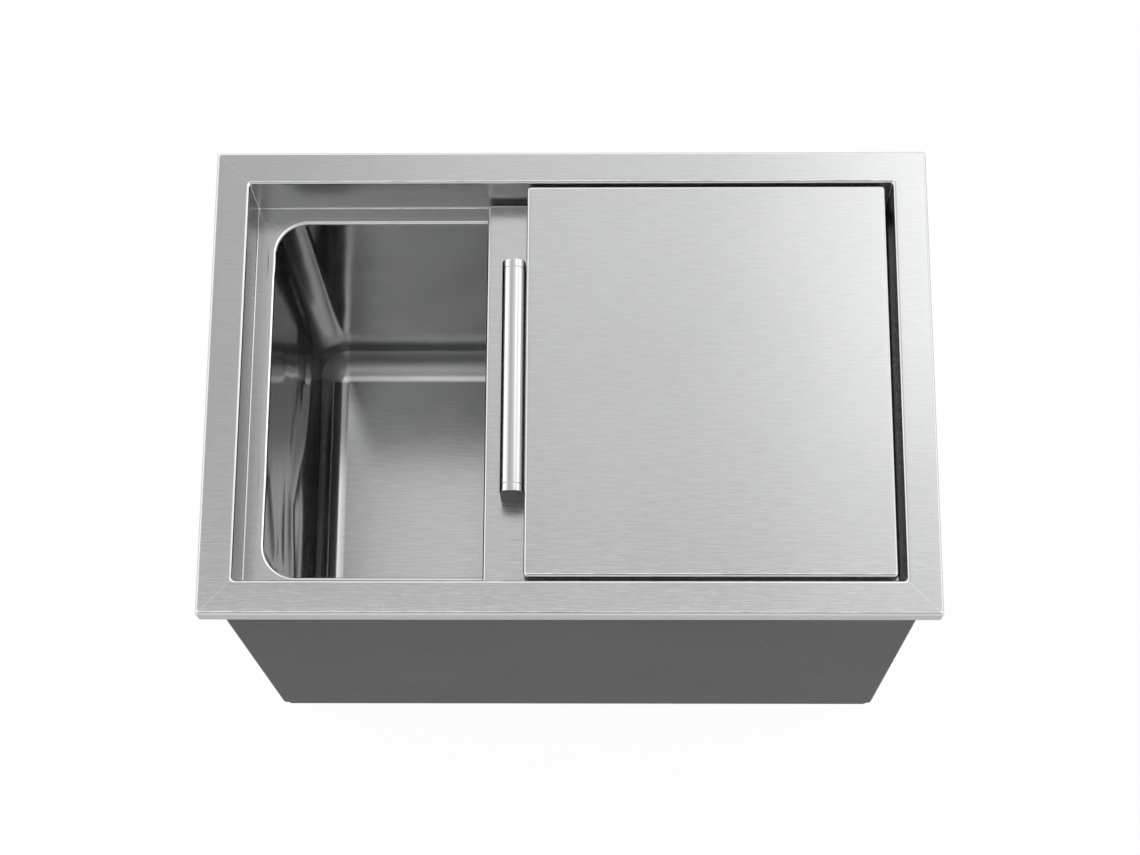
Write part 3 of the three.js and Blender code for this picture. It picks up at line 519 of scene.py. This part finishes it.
def polished_steel(name, roughness, end_painted_shade_share=1.0):
    """Polished steel with faint draw marks along Y. Where it faces Y, painted shade makes its colour
    as dark as the share of its ends."""
    material, graph = new_material(name)
    x, y, z = graph.parts(graph.coordinates())
    spot = graph.vector(x / DRAW_MARK_PITCH, y / DRAW_MARK_LENGTH, z / DRAW_MARK_PITCH)
    marks = graph.noise(spot, 1.0, FINE_OCTAVES)
    cloud = graph.noise(graph.coordinates(), POLISH_CLOUDS, FINE_OCTAVES)
    on_end = graph.rise(graph.facing()[1], *BAR_END_SHARES)
    tint = graph.blend(marks, shade(BAR_STEEL, DRAW_MARK_DARK_SHARE), BAR_STEEL)
    # Painted shade: the colour is darkened where the steel faces Y
    tint = graph.blend(on_end, tint, shade(BAR_STEEL, end_painted_shade_share))
    rough = weighed(roughness, marks, cloud)
    finish_steel(graph, tint, rough, graph.bump(marks, DRAW_MARK_DEPTH))
    return material


def ground_weld(graph, floor_level, half_length, half_width):
    """1 in the low corners of the basin, where the welds are ground, 0 elsewhere."""
    x, y, z = graph.parts(graph.coordinates())
    off_x = abs(x) - (half_length - GROUND_INSET)
    off_y = abs(y) - (half_width - GROUND_INSET)
    off_z = z - (floor_level + GROUND_HEIGHT)
    reach = graph.math("SQRT", off_x * off_x + off_y * off_y + off_z * off_z * GROUND_HEIGHT_SHARE)
    return graph.fall(reach, GROUND_CORE, GROUND_EDGE)


def basin_steel(name, floor_level, half_length, half_width):
    """Drawn sheet: mirror-like end walls darkened by painted shade, a linear grain on the floor that
    runs on up the front and back walls, softer bends lightened by painted light, and ground welds at
    the low corners."""
    material, graph = new_material(name)
    place = graph.coordinates()
    x, y, z = graph.parts(place)
    facing_x, facing_y, facing_z = graph.facing()
    on_floor = graph.rise(facing_z, *FLOOR_FACING_SHARES)
    on_end = graph.rise(facing_x, *END_FACING_SHARES) * (1 - on_floor)
    end_bend = on_floor * graph.rise(facing_x, *END_BEND_FACING_SHARES)
    side_bend = graph.rise(facing_y, *SIDE_BEND_FACING_SHARES)
    side_bend = side_bend * graph.rise(facing_z, *SIDE_BEND_RISE_SHARES)
    painted_light_bend = side_bend * graph.fall(facing_z, *PAINTED_LIGHT_BEND_RISE_SHARES)
    rough_bend = graph.fall(facing_z, *ROUGH_BEND_RISE_SHARES)
    ground = ground_weld(graph, floor_level, half_length, half_width)

    across = abs(y) + z
    lines = brush_lines(graph, x, across, BASIN_LINE_LENGTH, BASIN_LINE_PITCH, FINE_OCTAVES)
    streaks = brush_lines(
        graph, x, across, BASIN_STREAK_LENGTH, BASIN_STREAK_PITCH, COARSE_OCTAVES
    )
    cloud = graph.noise(place, BASIN_CLOUDS, FINE_OCTAVES)
    pits = graph.noise(place, GROUND_PITS, FINE_OCTAVES, HARSH_NOISE_SHARE)

    tone = graph.rise(streaks * on_floor + cloud * (1 - on_floor), *BASIN_TONE_SHARES)
    dark, light = shade(GLOSSY_STEEL, BASIN_DARK_SHARE), shade(GLOSSY_STEEL, BASIN_LIGHT_SHARE)
    tint = graph.blend(tone, dark, light)
    # Painted shade: the end walls are darkened in colour
    tint = graph.blend(on_end, tint, END_WALL_PAINTED_SHADE_STEEL)
    # Painted light: the end bends and the upper side bends get a lighter colour
    bend = graph.math("MAXIMUM", end_bend, painted_light_bend)
    tint = graph.blend(bend, tint, shade(GLOSSY_STEEL, BEND_PAINTED_LIGHT_SHARE))

    rough = weighed(BASIN_ROUGHNESS, cloud, on_floor)
    rough = rough + weighed(SIDE_BEND_ROUGHNESS, rough_bend) * side_bend
    rough = rough + ground * weighed(GROUND_ROUGHNESS, pits)
    grain = (1 - on_end) * (WALL_GRAIN_SHARE + (1 - WALL_GRAIN_SHARE) * on_floor)
    relief = graph.bump((lines + BASIN_STREAK_DEPTH_SHARE * streaks) * grain, BASIN_LINE_DEPTH)
    grinding = graph.bump(pits * ground, GROUND_DEPTH, Normal=relief)
    finish_steel(graph, tint, rough, grinding, BASIN_GRAZING_TINT)
    return material


def casing_metal(name):
    """Dull grey coated sheet with a fine orange peel and light specks."""
    material, graph = new_material(name)
    place = graph.coordinates()
    peel = graph.noise(place, CASING_PEEL, fine_share=CRISP_NOISE_SHARE)
    specks = graph.rise(graph.noise(place, CASING_SPECKS), *CASING_SPECK_SHARES)
    cloud = graph.noise(place, CASING_CLOUDS)
    tone = CASING_PEEL_SHARE * peel + (1 - CASING_PEEL_SHARE) * cloud
    tint = graph.blend(graph.rise(tone, *CASING_TONE_SHARES), CASING_DARK, CASING_LIGHT)
    tint = graph.blend(specks * CASING_SPECK_TINT_SHARE, tint, CASING_SPECK)
    finish_material(
        graph,
        Base_Color=tint,
        Metallic=CASING_METALLIC,
        Specular_IOR_Level=CASING_SPECULAR,
        Roughness=weighed(CASING_ROUGHNESS, peel),
        Normal=graph.bump(peel + CASING_SPECK_DEPTH_SHARE * specks, CASING_PEEL_DEPTH),
    )
    return material


# Other finishes

def foam(name):
    """Poured foam: cream, with fine cells."""
    material, graph = new_material(name)
    place = graph.coordinates()
    cells = graph.node(
        "ShaderNodeTexVoronoi", {"feature": "F1"}, {"Vector": place, "Scale": FOAM_CELLS}
    )
    cloud = graph.noise(place, FOAM_CLOUDS, FINE_OCTAVES)
    finish_material(
        graph,
        Base_Color=graph.blend(cloud, FOAM_DARK, FOAM_LIGHT),
        Roughness=weighed(FOAM_ROUGHNESS, cells),
        Normal=graph.bump(cells, FOAM_CELL_DEPTH),
    )
    return material


def rubber(name):
    """Moulded black rubber with a faint bloom."""
    material, graph = new_material(name)
    place = graph.coordinates()
    grain = graph.noise(place, RUBBER_GRAIN)
    cloud = graph.noise(place, RUBBER_CLOUDS, FINE_OCTAVES)
    bloom = graph.rise(cloud, *RUBBER_BLOOM_SHARES)
    finish_material(
        graph,
        Base_Color=graph.blend(bloom, RUBBER_BLACK, RUBBER_BLOOM),
        Roughness=weighed(RUBBER_ROUGHNESS, cloud),
        Normal=graph.bump(grain, RUBBER_GRAIN_DEPTH),
    )
    return material


def slip_plastic(name):
    """Milky moulded plastic, worn along X where it slides."""
    material, graph = new_material(name)
    x, y, z = graph.parts(graph.coordinates())
    spot = graph.vector(x / PLASTIC_WEAR_LENGTH, y / PLASTIC_WEAR_PITCH, z / PLASTIC_WEAR_PITCH)
    wear = graph.noise(spot, 1.0, FINE_OCTAVES)
    finish_material(
        graph,
        Base_Color=graph.blend(wear, PLASTIC_DARK, PLASTIC_LIGHT),
        Roughness=weighed(PLASTIC_ROUGHNESS, wear),
        Subsurface_Weight=PLASTIC_MILKINESS,
        Normal=graph.bump(wear, PLASTIC_WEAR_DEPTH),
    )
    return material


# Mesh tools

def smoothstep(value, start, end):
    share = min(1.0, max(0.0, (value - start) / (end - start)))
    return share * share * (3 - 2 * share)


def rounded_ring(half_length, half_width, radius, z, grid):
    """A rounded rectangle, counter-clockwise from the middle of its +X side."""
    short_spans, corner_steps, long_spans = grid
    quarter = []
    for i in range(short_spans):
        quarter.append((half_length, (half_width - radius) * i / short_spans))
    for i in range(corner_steps):
        angle = math.pi / 2 * i / corner_steps
        x = half_length - radius + radius * math.cos(angle)
        quarter.append((x, half_width - radius + radius * math.sin(angle)))
    for i in range(long_spans + 1):
        quarter.append(((half_length - radius) * (1 - i / long_spans), half_width))
    forward, backward = quarter[:-1], quarter[:0:-1]
    outline = [
        *forward,
        *((-x, y) for x, y in backward),
        *((-x, -y) for x, y in forward),
        *((x, -y) for x, y in backward),
    ]
    return [Vector((x, y, z)) for x, y in outline]


def circle_ring(radius, z, count):
    """A circle of this many points, counter-clockwise from +X."""
    turn = 2 * math.pi / count
    return [
        Vector((radius * math.cos(turn * i), radius * math.sin(turn * i), z))
        for i in range(count)
    ]


def loft(rings, closed=True):
    """Vertices and faces of rings of equal counts joined in order. The last ring is joined to the
    first where the loft is closed, and else both ends get a face."""
    count = len(rings[0])
    points = [point for ring in rings for point in ring]
    faces = []
    for band in range(len(rings) if closed else len(rings) - 1):
        low = band * count
        high = (band + 1) % len(rings) * count
        for i in range(count):
            after = (i + 1) % count
            faces.append((low + i, low + after, high + after, high + i))
    if not closed:
        faces.append(tuple(reversed(range(count))))
        faces.append(tuple(range((len(rings) - 1) * count, len(rings) * count)))
    return points, faces


def arc(centre, radius, start, end, steps):
    """Points on an arc, with angles in degrees."""
    points = []
    for i in range(steps + 1):
        angle = math.radians(start + (end - start) * i / steps)
        points.append((centre[0] + radius * math.cos(angle), centre[1] + radius * math.sin(angle)))
    return points


def folded_sheet(path, thickness, bends, steps):
    """The two faces of a folded sheet. The path is the left-hand face with sharp corners, and
    each corner is bent to its inside radius."""
    path = [Vector(place) for place in path]
    headings = [(end - start).normalized() for start, end in zip(path, path[1:])]
    left = [Vector((-heading.y, heading.x)) for heading in headings]
    face = [path[0]]
    back = [path[0] - left[0] * thickness]
    for i, inside in enumerate(bends):
        before, after = left[i], left[i + 1]
        turn = 1 if before.cross(after) > 0 else -1
        face_radius = inside if turn > 0 else inside + thickness
        back_radius = inside + thickness if turn > 0 else inside
        reach = turn * face_radius / (1 + before.dot(after))
        centre = path[i + 1] + (before + after) * reach
        sweep = turn * math.acos(before.dot(after))
        for step in range(steps + 1):
            normal = Matrix.Rotation(sweep * step / steps, 2) @ before
            face.append(centre - normal * (turn * face_radius))
            back.append(centre - normal * (turn * back_radius))
    face.append(path[-1])
    back.append(path[-1] - left[-1] * thickness)
    return face, back


def with_spans(points, longest):
    """The same points, with more between them where they lie further apart than this."""
    filled = [points[0]]
    for start, end in zip(points, points[1:]):
        count = max(1, math.ceil((end - start).length / longest))
        filled += [start.lerp(end, i / count) for i in range(1, count + 1)]
    return filled


def smoothing_group():
    """Geometry nodes that weld split corners and shade smooth across all but sharp edges."""
    tree = bpy.data.node_groups.new("smooth_by_angle", "GeometryNodeTree")
    for direction in ("INPUT", "OUTPUT"):
        tree.interface.new_socket(
            "Geometry", in_out=direction, socket_type="NodeSocketGeometry"
        )
    graph = Graph(tree)
    welded = graph.node(
        "GeometryNodeMergeByDistance",
        inputs={"Geometry": graph.node("NodeGroupInput"), "Distance": MERGE_DISTANCE},
    )
    faces = graph.node("GeometryNodeSetShadeSmooth", {"domain": "FACE"}, {"Geometry": welded})
    flat_enough = graph.node(
        "FunctionNodeCompare",
        {"data_type": "FLOAT", "operation": "LESS_THAN"},
        {0: graph.node("GeometryNodeInputMeshEdgeAngle"), 1: SMOOTH_ANGLE},
    )
    edges = graph.node(
        "GeometryNodeSetShadeSmooth",
        {"domain": "EDGE"},
        {"Geometry": faces, "Shade Smooth": flat_enough},
    )
    graph.node("NodeGroupOutput", inputs={0: edges})
    return tree


SMOOTHING = smoothing_group()


def smooth(piece):
    modifier = piece.modifiers.new("smoothing", "NODES")
    modifier.node_group = SMOOTHING
    weighted = piece.modifiers.new("weighting", "WEIGHTED_NORMAL")
    weighted.mode = "FACE_AREA"
    weighted.keep_sharp = True


def add_object(name, data):
    made = bpy.data.objects.new(name, data)
    bpy.context.scene.collection.objects.link(made)
    return made


def new_piece(name, mesh_data, body, material, replaced):
    """A smooth-shaded mesh object that rides on a body and stands for CAD nodes."""
    points, faces = mesh_data
    mesh = bpy.data.meshes.new(name)
    mesh.from_pydata(points, [], faces)
    mesh.validate()
    solid = bmesh.new()
    solid.from_mesh(mesh)
    bmesh.ops.recalc_face_normals(solid, faces=solid.faces)
    solid.to_mesh(mesh)
    solid.free()
    mesh.materials.append(material)
    piece = add_object(name, mesh)
    smooth(piece)
    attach(piece, body)
    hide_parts(*replaced)


def dress(node, material):
    """Gives a CAD node its material and smooth shading."""
    piece = nodes[node]
    piece.data.materials.clear()
    piece.data.materials.append(material)
    smooth(piece)


# Rim

def rim_size():
    """The rim's half length, half width and top."""
    right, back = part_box("rim_right")[1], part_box("rim_back")[1]
    return right.x, back.y, right.z


def rim_corner(inset, level, flange_top, hidden):
    """The radius in plan of the welded corner. The weld fills the recess' corner at its top."""
    if inset < FLANGE_WIDTH / 2:
        return max(RIM_CORNER - hidden * RIM_SHEET, SMALLEST_CORNER)
    filled = smoothstep(level, flange_top - RECESS_WELD_DEPTH, flange_top)
    return RECESS_FOOT_CORNER + (RECESS_CORNER - RECESS_FOOT_CORNER) * filled + hidden * RIM_SHEET


def rim_mesh():
    """The folded rim, from the return of its lip over the flange to the ledge round the basin.
    The sheet's hidden face is numbered 1 and the seen one 0."""
    half_length, half_width, flange_top = rim_size()
    basin_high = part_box("basin")[1]
    ledge_top = basin_high.z
    face, back = folded_sheet(
        [
            (LIP_RETURN, 0),
            (0, 0),
            (0, flange_top),
            (FLANGE_WIDTH, flange_top),
            (FLANGE_WIDTH, ledge_top),
            (2 * FLANGE_WIDTH, ledge_top),
        ],
        RIM_SHEET,
        [RIM_BEND, RIM_BEND, RIM_BEND, LEDGE_BEND],
        RIM_BEND_STEPS,
    )

    def rings_of(section, hidden):
        rings = []
        for inset, z in with_spans(section[:-1], SHEET_SPAN):
            corner = rim_corner(inset, z, flange_top, hidden)
            rings.append(rounded_ring(half_length - inset, half_width - inset, corner, z, RIM_GRID))
        edge = (
            basin_high.x + WELD_GAP,
            basin_high.y + WELD_GAP,
            WELD_GAP + BASIN_CORNER + BASIN_LIP_WIDTH,
            ledge_top - hidden * RIM_SHEET,
        )
        rings.append(rounded_ring(*edge, RIM_GRID))
        return rings

    return loft([*rings_of(face, 0), *reversed(rings_of(back, 1))])


def add_rim(material):
    new_piece("rim_folded", rim_mesh(), "bin", material, RIM_NODES)


# Covers

def cover_mesh(node):
    """A cover's folded skin, open below."""
    low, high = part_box(node)
    centre = (low + high) / 2
    half_length, half_width = high.x - centre.x, high.y - centre.y
    path = [(0, low.z), (0, high.z), (2 * (COVER_SHEET + COVER_BEND), high.z)]
    face, back = folded_sheet(path, COVER_SHEET, [COVER_BEND], COVER_BEND_STEPS)
    rings = []
    for inset, z in [*reversed(back), *face]:
        radius = max(COVER_CORNER - inset, SMALLEST_CORNER)
        ring = rounded_ring(half_length - inset, half_width - inset, radius, z, COVER_GRID)
        rings.append([place + Vector((centre.x, centre.y, 0)) for place in ring])
    return loft(rings, closed=False)


def add_covers(material):
    for name, body, node in COVERS:
        new_piece(name, cover_mesh(node), body, material, [node])


# Basin

def basin_size():
    """The basin's top and floor level, and the half length and half width inside its walls."""
    low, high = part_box("basin")
    floor = low.z + BASIN_SHEET + DRAIN_SEAT_DEPTH + BASIN_FLOOR_FALL
    return high.z, floor, high.x - BASIN_LIP_WIDTH, high.y - BASIN_LIP_WIDTH


def basin_section(top, floor, behind):
    """A face of the sheet as insets from the wall and heights, from the lip's edge to the floor,
    this far behind the face that is seen."""
    lip, bend = BASIN_LIP_BEND, BASIN_FLOOR_BEND
    straight = top - lip - (floor + bend)
    section = [(-BASIN_LIP_WIDTH, top - behind)]
    section += arc((-lip, top - lip), lip - behind, 90, 0, BASIN_LIP_STEPS)
    for i in range(1, BASIN_WALL_SPANS):
        section.append((-behind, top - lip - straight * i / BASIN_WALL_SPANS))
    section += arc((bend, floor + bend), bend + behind, 180, 270, BASIN_BEND_STEPS)
    return section


def off_line(place, line):
    """The distance from a place to a line of places."""
    nearest = math.inf
    for start, end in zip(line, line[1:]):
        along = (place - start).dot(end - start) / (end - start).length_squared
        nearest = min(nearest, (place - start.lerp(end, min(1.0, max(0.0, along)))).length)
    return nearest


def wave(place, size):
    """How far a wall stands off its plane at a place: nothing at lip and floor, and most on the
    end walls, where ridges stand into the basin on the left."""
    top, floor, half_length, half_width = size
    depth = (top - place.z) / (top - floor)
    mask = math.sin(math.pi * min(1.0, max(0.0, depth)))
    near_end = smoothstep(abs(place.x), half_length - END_WALL_REACH, half_length)
    off_corner = smoothstep(
        abs(place.y), half_width - WAVE_CORNER_START, half_width - WAVE_CORNER_END
    )
    strength = SIDE_WALL_WAVE + (END_WALL_WAVE - SIDE_WALL_WAVE) * near_end * off_corner
    height = WALL_WAVE_HEIGHT
    soft = Vector((place.x / height, place.y / WALL_WAVE_LENGTH, place.z / height))
    ripple = RIPPLE_SHARE * noise.noise(soft * RIPPLES_PER_WAVE)
    rise = strength * mask * (noise.noise(soft) + ripple - WAVE_BIAS_SHARE)
    if place.x < BASIN_CORNER - half_length:
        for line, half_ridge, ridge_height in LEFT_WALL_RIDGES:
            places = [Vector(spot) * MM for spot in line]
            share = off_line(Vector((place.y, place.z)), places) / (half_ridge * MM)
            rise -= ridge_height * MM * math.exp(-share * share)
    return rise


def brake_mark(inset):
    """How far the marks of the brake stand out of an end wall's floor bend."""
    share = math.acos(1 - min(1.0, max(0.0, inset / BASIN_FLOOR_BEND))) / (math.pi / 2)
    return BRAKE_MARK * math.sin(math.pi * share) * math.cos(2 * math.pi * BRAKE_MARK_COUNT * share)


def uneven(place, inset, radius, size):
    """A place of the inner face, this far in from its wall and with this corner radius, moved by
    the waves of the wall and the marks of the brake."""
    _, _, half_length, half_width = size
    past = max(0.0, abs(place.x) - (half_length - inset - radius))
    beside = max(0.0, abs(place.y) - (half_width - inset - radius))
    outward = Vector((math.copysign(past, place.x), math.copysign(beside, place.y), 0))
    outward.normalize()
    moved = place + outward * wave(place, size)
    moved.z -= brake_mark(inset) * outward.x * outward.x
    return moved


def basin_mesh():
    """The liner's inner face, the seat of the drain that its floor falls to, and its outer face."""
    size = basin_size()
    top, floor, half_length, half_width = size

    def walls(behind):
        rings = []
        for inset, z in basin_section(top, floor, behind):
            radius = max(BASIN_CORNER - inset, SMALLEST_CORNER)
            ring = rounded_ring(half_length - inset, half_width - inset, radius, z, BASIN_GRID)
            if not behind:
                ring = [uneven(place, inset, radius, size) for place in ring]
            rings.append(ring)
        return rings

    inside, outside = walls(0), walls(BASIN_SHEET)
    count = len(inside[0])

    def seat(level):
        return [
            circle_ring(FLOOR_FALL_RADIUS, level + BASIN_FLOOR_FALL, count),
            circle_ring(DRAIN_SEAT_RADIUS + DRAIN_SEAT_SLOPE, level, count),
            circle_ring(DRAIN_SEAT_RADIUS, level - DRAIN_SEAT_DEPTH, count),
            circle_ring(DRAIN_HOLE_RADIUS, level - DRAIN_SEAT_DEPTH, count),
        ]

    level = floor - BASIN_FLOOR_FALL
    return loft([*inside, *seat(level), *reversed(seat(level - BASIN_SHEET)), *reversed(outside)])


def add_basin():
    _, floor, half_length, half_width = basin_size()
    material = basin_steel("basin_steel", floor, half_length, half_width)
    new_piece("basin_liner", basin_mesh(), "bin", material, ["basin"])


# Handle

def bar_mesh(low, high):
    """A round bar along Y with softened ends."""
    radius = (high.x - low.x) / 2
    centre = (low + high) / 2
    edge = HANDLE_EDGE
    middle = BAR_MIDDLE_SHARE * radius
    profile = [
        (middle, low.y),
        *arc((radius - edge, low.y + edge), edge, -90, 0, BAR_EDGE_STEPS),
        *arc((radius - edge, high.y - edge), edge, 0, 90, BAR_EDGE_STEPS),
        (middle, high.y),
    ]
    turn = 2 * math.pi / BAR_SEGMENTS
    rings = []
    for reach, y in profile:
        rings.append([
            Vector((centre.x + reach * math.sin(turn * i), y, centre.z + reach * math.cos(turn * i)))
            for i in range(BAR_SEGMENTS)
        ])
    return loft(rings, closed=False)


def foot_mesh(low, high, outward):
    """An arched foot with rounded toes, softened edges and a slightly bulged outer face."""
    radius = (high.x - low.x) / 2
    centre_x = (low.x + high.x) / 2
    edge = HANDLE_EDGE
    toe = FOOT_TOE
    profile = [
        *arc((edge, low.y + edge), edge, 270, 180, FOOT_EDGE_STEPS),
        *arc((edge, high.y - edge), edge, 180, 90, FOOT_EDGE_STEPS),
    ]
    outer_y = low.y if outward < 0 else high.y
    rings = []
    for inset, y in profile:
        reach = radius - inset
        outline = arc((centre_x - reach + toe, low.z + toe), toe, 180, 270, FOOT_TOE_STEPS)
        outline += arc((centre_x + reach - toe, low.z + toe), toe, 270, 360, FOOT_TOE_STEPS)
        outline += arc((centre_x, high.z - radius), reach, 0, 180, FOOT_ARC_STEPS)
        bulge = outward * FOOT_BULGE * (1 - abs(y - outer_y) / (high.y - low.y))
        rings.append([
            Vector((x, y - bulge * ((x - centre_x) / radius) ** 2, z)) for x, z in outline
        ])
    return loft(rings, closed=False)


def add_handle(material):
    body, slot = "sliding_panel", "handle_steel"
    bar = bar_mesh(*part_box("handle_bar"))
    new_piece("handle_round_bar", bar, body, material, ["handle_bar"])
    for where, outward in (("front", -1), ("back", 1)):
        node = f"handle_foot_{where}"
        foot = foot_mesh(*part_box(node), outward)
        new_piece(f"handle_end_{where}", foot, body, material, [node])


# Studio

def add_world():
    """White walls, dimmer in front, that fade to a grey ceiling with a bright strip, and a dark
    place where the camera stands."""
    world = bpy.data.worlds.new("studio")
    world.use_nodes = True
    graph = Graph(world.node_tree)
    across, depth, height = graph.parts(graph.coordinates("Generated"))
    ceiling = graph.rise(height, WALL_TOP, CEILING_START)
    strip = graph.fall(abs(depth), *STRIP_DEPTHS) * ceiling
    beside = (across / height - CAMERA_PLACE.x / CAMERA_PLACE.z) / CAMERA_GAP_HALF_LENGTH
    before = (depth / height - CAMERA_PLACE.y / CAMERA_PLACE.z) / CAMERA_GAP_HALF_WIDTH
    off_camera = graph.math("SQRT", beside * beside + before * before)
    gap = graph.fall(off_camera, CAMERA_GAP_INNER_SHARE, 1.0) * (height > 0)
    front = graph.fall(depth, *FRONT_DIM_DEPTHS)
    light = WALL_LIGHT + (CEILING_LIGHT - WALL_LIGHT) * ceiling + STRIP_LIGHT * strip
    light = light * (1 - CAMERA_GAP_SHARE * gap) * (1 - FRONT_DIM_SHARE * front)
    background = graph.node("ShaderNodeBackground", inputs={"Color": WHITE, "Strength": light})
    graph.node("ShaderNodeOutputWorld", inputs={"Surface": background})
    bpy.context.scene.world = world


def add_overhead_lamp():
    """A wide soft box above the object, which fades out to the left and to the front and is
    brightest on the right. Its energy makes the strength of its Emission its brightness."""
    data = bpy.data.lights.new("overhead", "AREA")
    data.shape = "RECTANGLE"
    data.size = OVERHEAD_LENGTH
    data.size_y = OVERHEAD_WIDTH
    data.energy = math.pi * OVERHEAD_LENGTH * OVERHEAD_WIDTH
    data.use_nodes = True
    graph = Graph(data.node_tree)
    across, along, _ = graph.parts(graph.node("ShaderNodeNewGeometry", output="Parametric"))
    front_fade = graph.rise(along, 0.0, OVERHEAD_FRONT_FADE_SHARE)
    kept = OVERHEAD_FRONT_KEPT_SHARE
    main = OVERHEAD_MAIN_LIGHT * graph.rise(across, 0.0, OVERHEAD_LEFT_FADE_SHARE) * front_fade
    right = OVERHEAD_RIGHT_LIGHT * graph.rise(across, *OVERHEAD_RIGHT_SHARES)
    right = right * (kept + (1 - kept) * front_fade)
    glow = graph.node("ShaderNodeEmission", inputs={"Color": WHITE, "Strength": main + right})
    graph.node("ShaderNodeOutputLight", inputs={"Surface": glow})
    lamp = add_object("overhead", data)
    lamp.location = OVERHEAD_PLACE
    lamp.visible_camera = False


def add_floor():
    """A white floor that keeps a faint shadow of the object."""
    mesh = bpy.data.meshes.new("floor")
    reach = FLOOR_REACH
    corners = [(-reach, -reach), (reach, -reach), (reach, reach), (-reach, reach)]
    mesh.from_pydata([(x, y, cad_low.z) for x, y in corners], [], [(0, 1, 2, 3)])
    floor = add_object("floor", mesh)
    material, graph = new_material("floor_white")
    seen, mirrored, through = graph.node(
        "ShaderNodeLightPath", output=("Is Camera Ray", "Is Glossy Ray", "Is Transmission Ray")
    )
    share = FLOOR_SEEN_SHARE * seen + FLOOR_MIRRORED_SHARE * (mirrored + through)
    diffuse = graph.node("ShaderNodeBsdfDiffuse", inputs={"Color": FLOOR_WHITE})
    glow = graph.node("ShaderNodeEmission", inputs={"Color": WHITE, "Strength": 1.0})
    surface = graph.node("ShaderNodeMixShader", inputs={0: share, 1: diffuse, 2: glow})
    graph.node("ShaderNodeOutputMaterial", inputs={"Surface": surface})
    mesh.materials.append(material)


def add_camera():
    data = bpy.data.cameras.new("camera")
    data.lens = CAMERA_LENS
    data.sensor_width = SENSOR_WIDTH
    camera = add_object("camera", data)
    turn = Matrix.Rotation(CAMERA_HEADING, 4, "Z")
    tilt = Matrix.Rotation(math.pi / 2 - CAMERA_PITCH, 4, "X")
    roll = Matrix.Rotation(CAMERA_ROLL, 4, "Z")
    camera.matrix_world = Matrix.Translation(CAMERA_PLACE) @ turn @ tilt @ roll
    scene = bpy.context.scene
    scene.camera = camera
    scene.view_settings.view_transform = "Standard"
    scene.cycles.glossy_bounces = GLOSSY_BOUNCES


add_camera()
add_world()
add_overhead_lamp()
add_floor()

rim_steel = brushed_steel("rim_steel", mitre=rim_size()[:2])
cover_steel = brushed_steel("cover_steel")
handle_steel = polished_steel("handle_steel", HANDLE_ROUGHNESS, HANDLE_END_PAINTED_SHADE_SHARE)
drain_steel = polished_steel("drain_steel", DRAIN_ROUGHNESS)
casing_grey = casing_metal("casing_metal")
foam_cream = foam("foam")
rubber_black = rubber("rubber")
plastic_white = slip_plastic("slip_plastic")

DRESSED = [
    ("rim_steel", rim_steel, ["lid_rail_front", "lid_rail_back"]),
    ("cover_steel", cover_steel, ["upper_lid_liner", "panel_liner"]),
    ("handle_steel", handle_steel, ["handle_screw_front", "handle_screw_back"]),
    ("drain_steel", drain_steel, ["drain_body", "drain_strainer", "drain_lock_nut"]),
    ("casing_metal", casing_grey, ["casing_wrap", "casing_back", "casing_bottom"]),
    ("foam", foam_cream, ["insulation", "upper_lid_core", "panel_core"]),
    ("rubber", rubber_black, [
        "rail_pad_front", "rail_pad_back", "drain_floor_gasket", "drain_plug", "drain_outer_gasket",
    ]),
    ("slip_plastic", plastic_white, ["panel_glide_front", "panel_glide_back"]),
]
for slot, material, names in DRESSED:
    for name in names:
        dress(name, material)

add_rim(rim_steel)
add_basin()
add_covers(cover_steel)
add_handle(handle_steel)
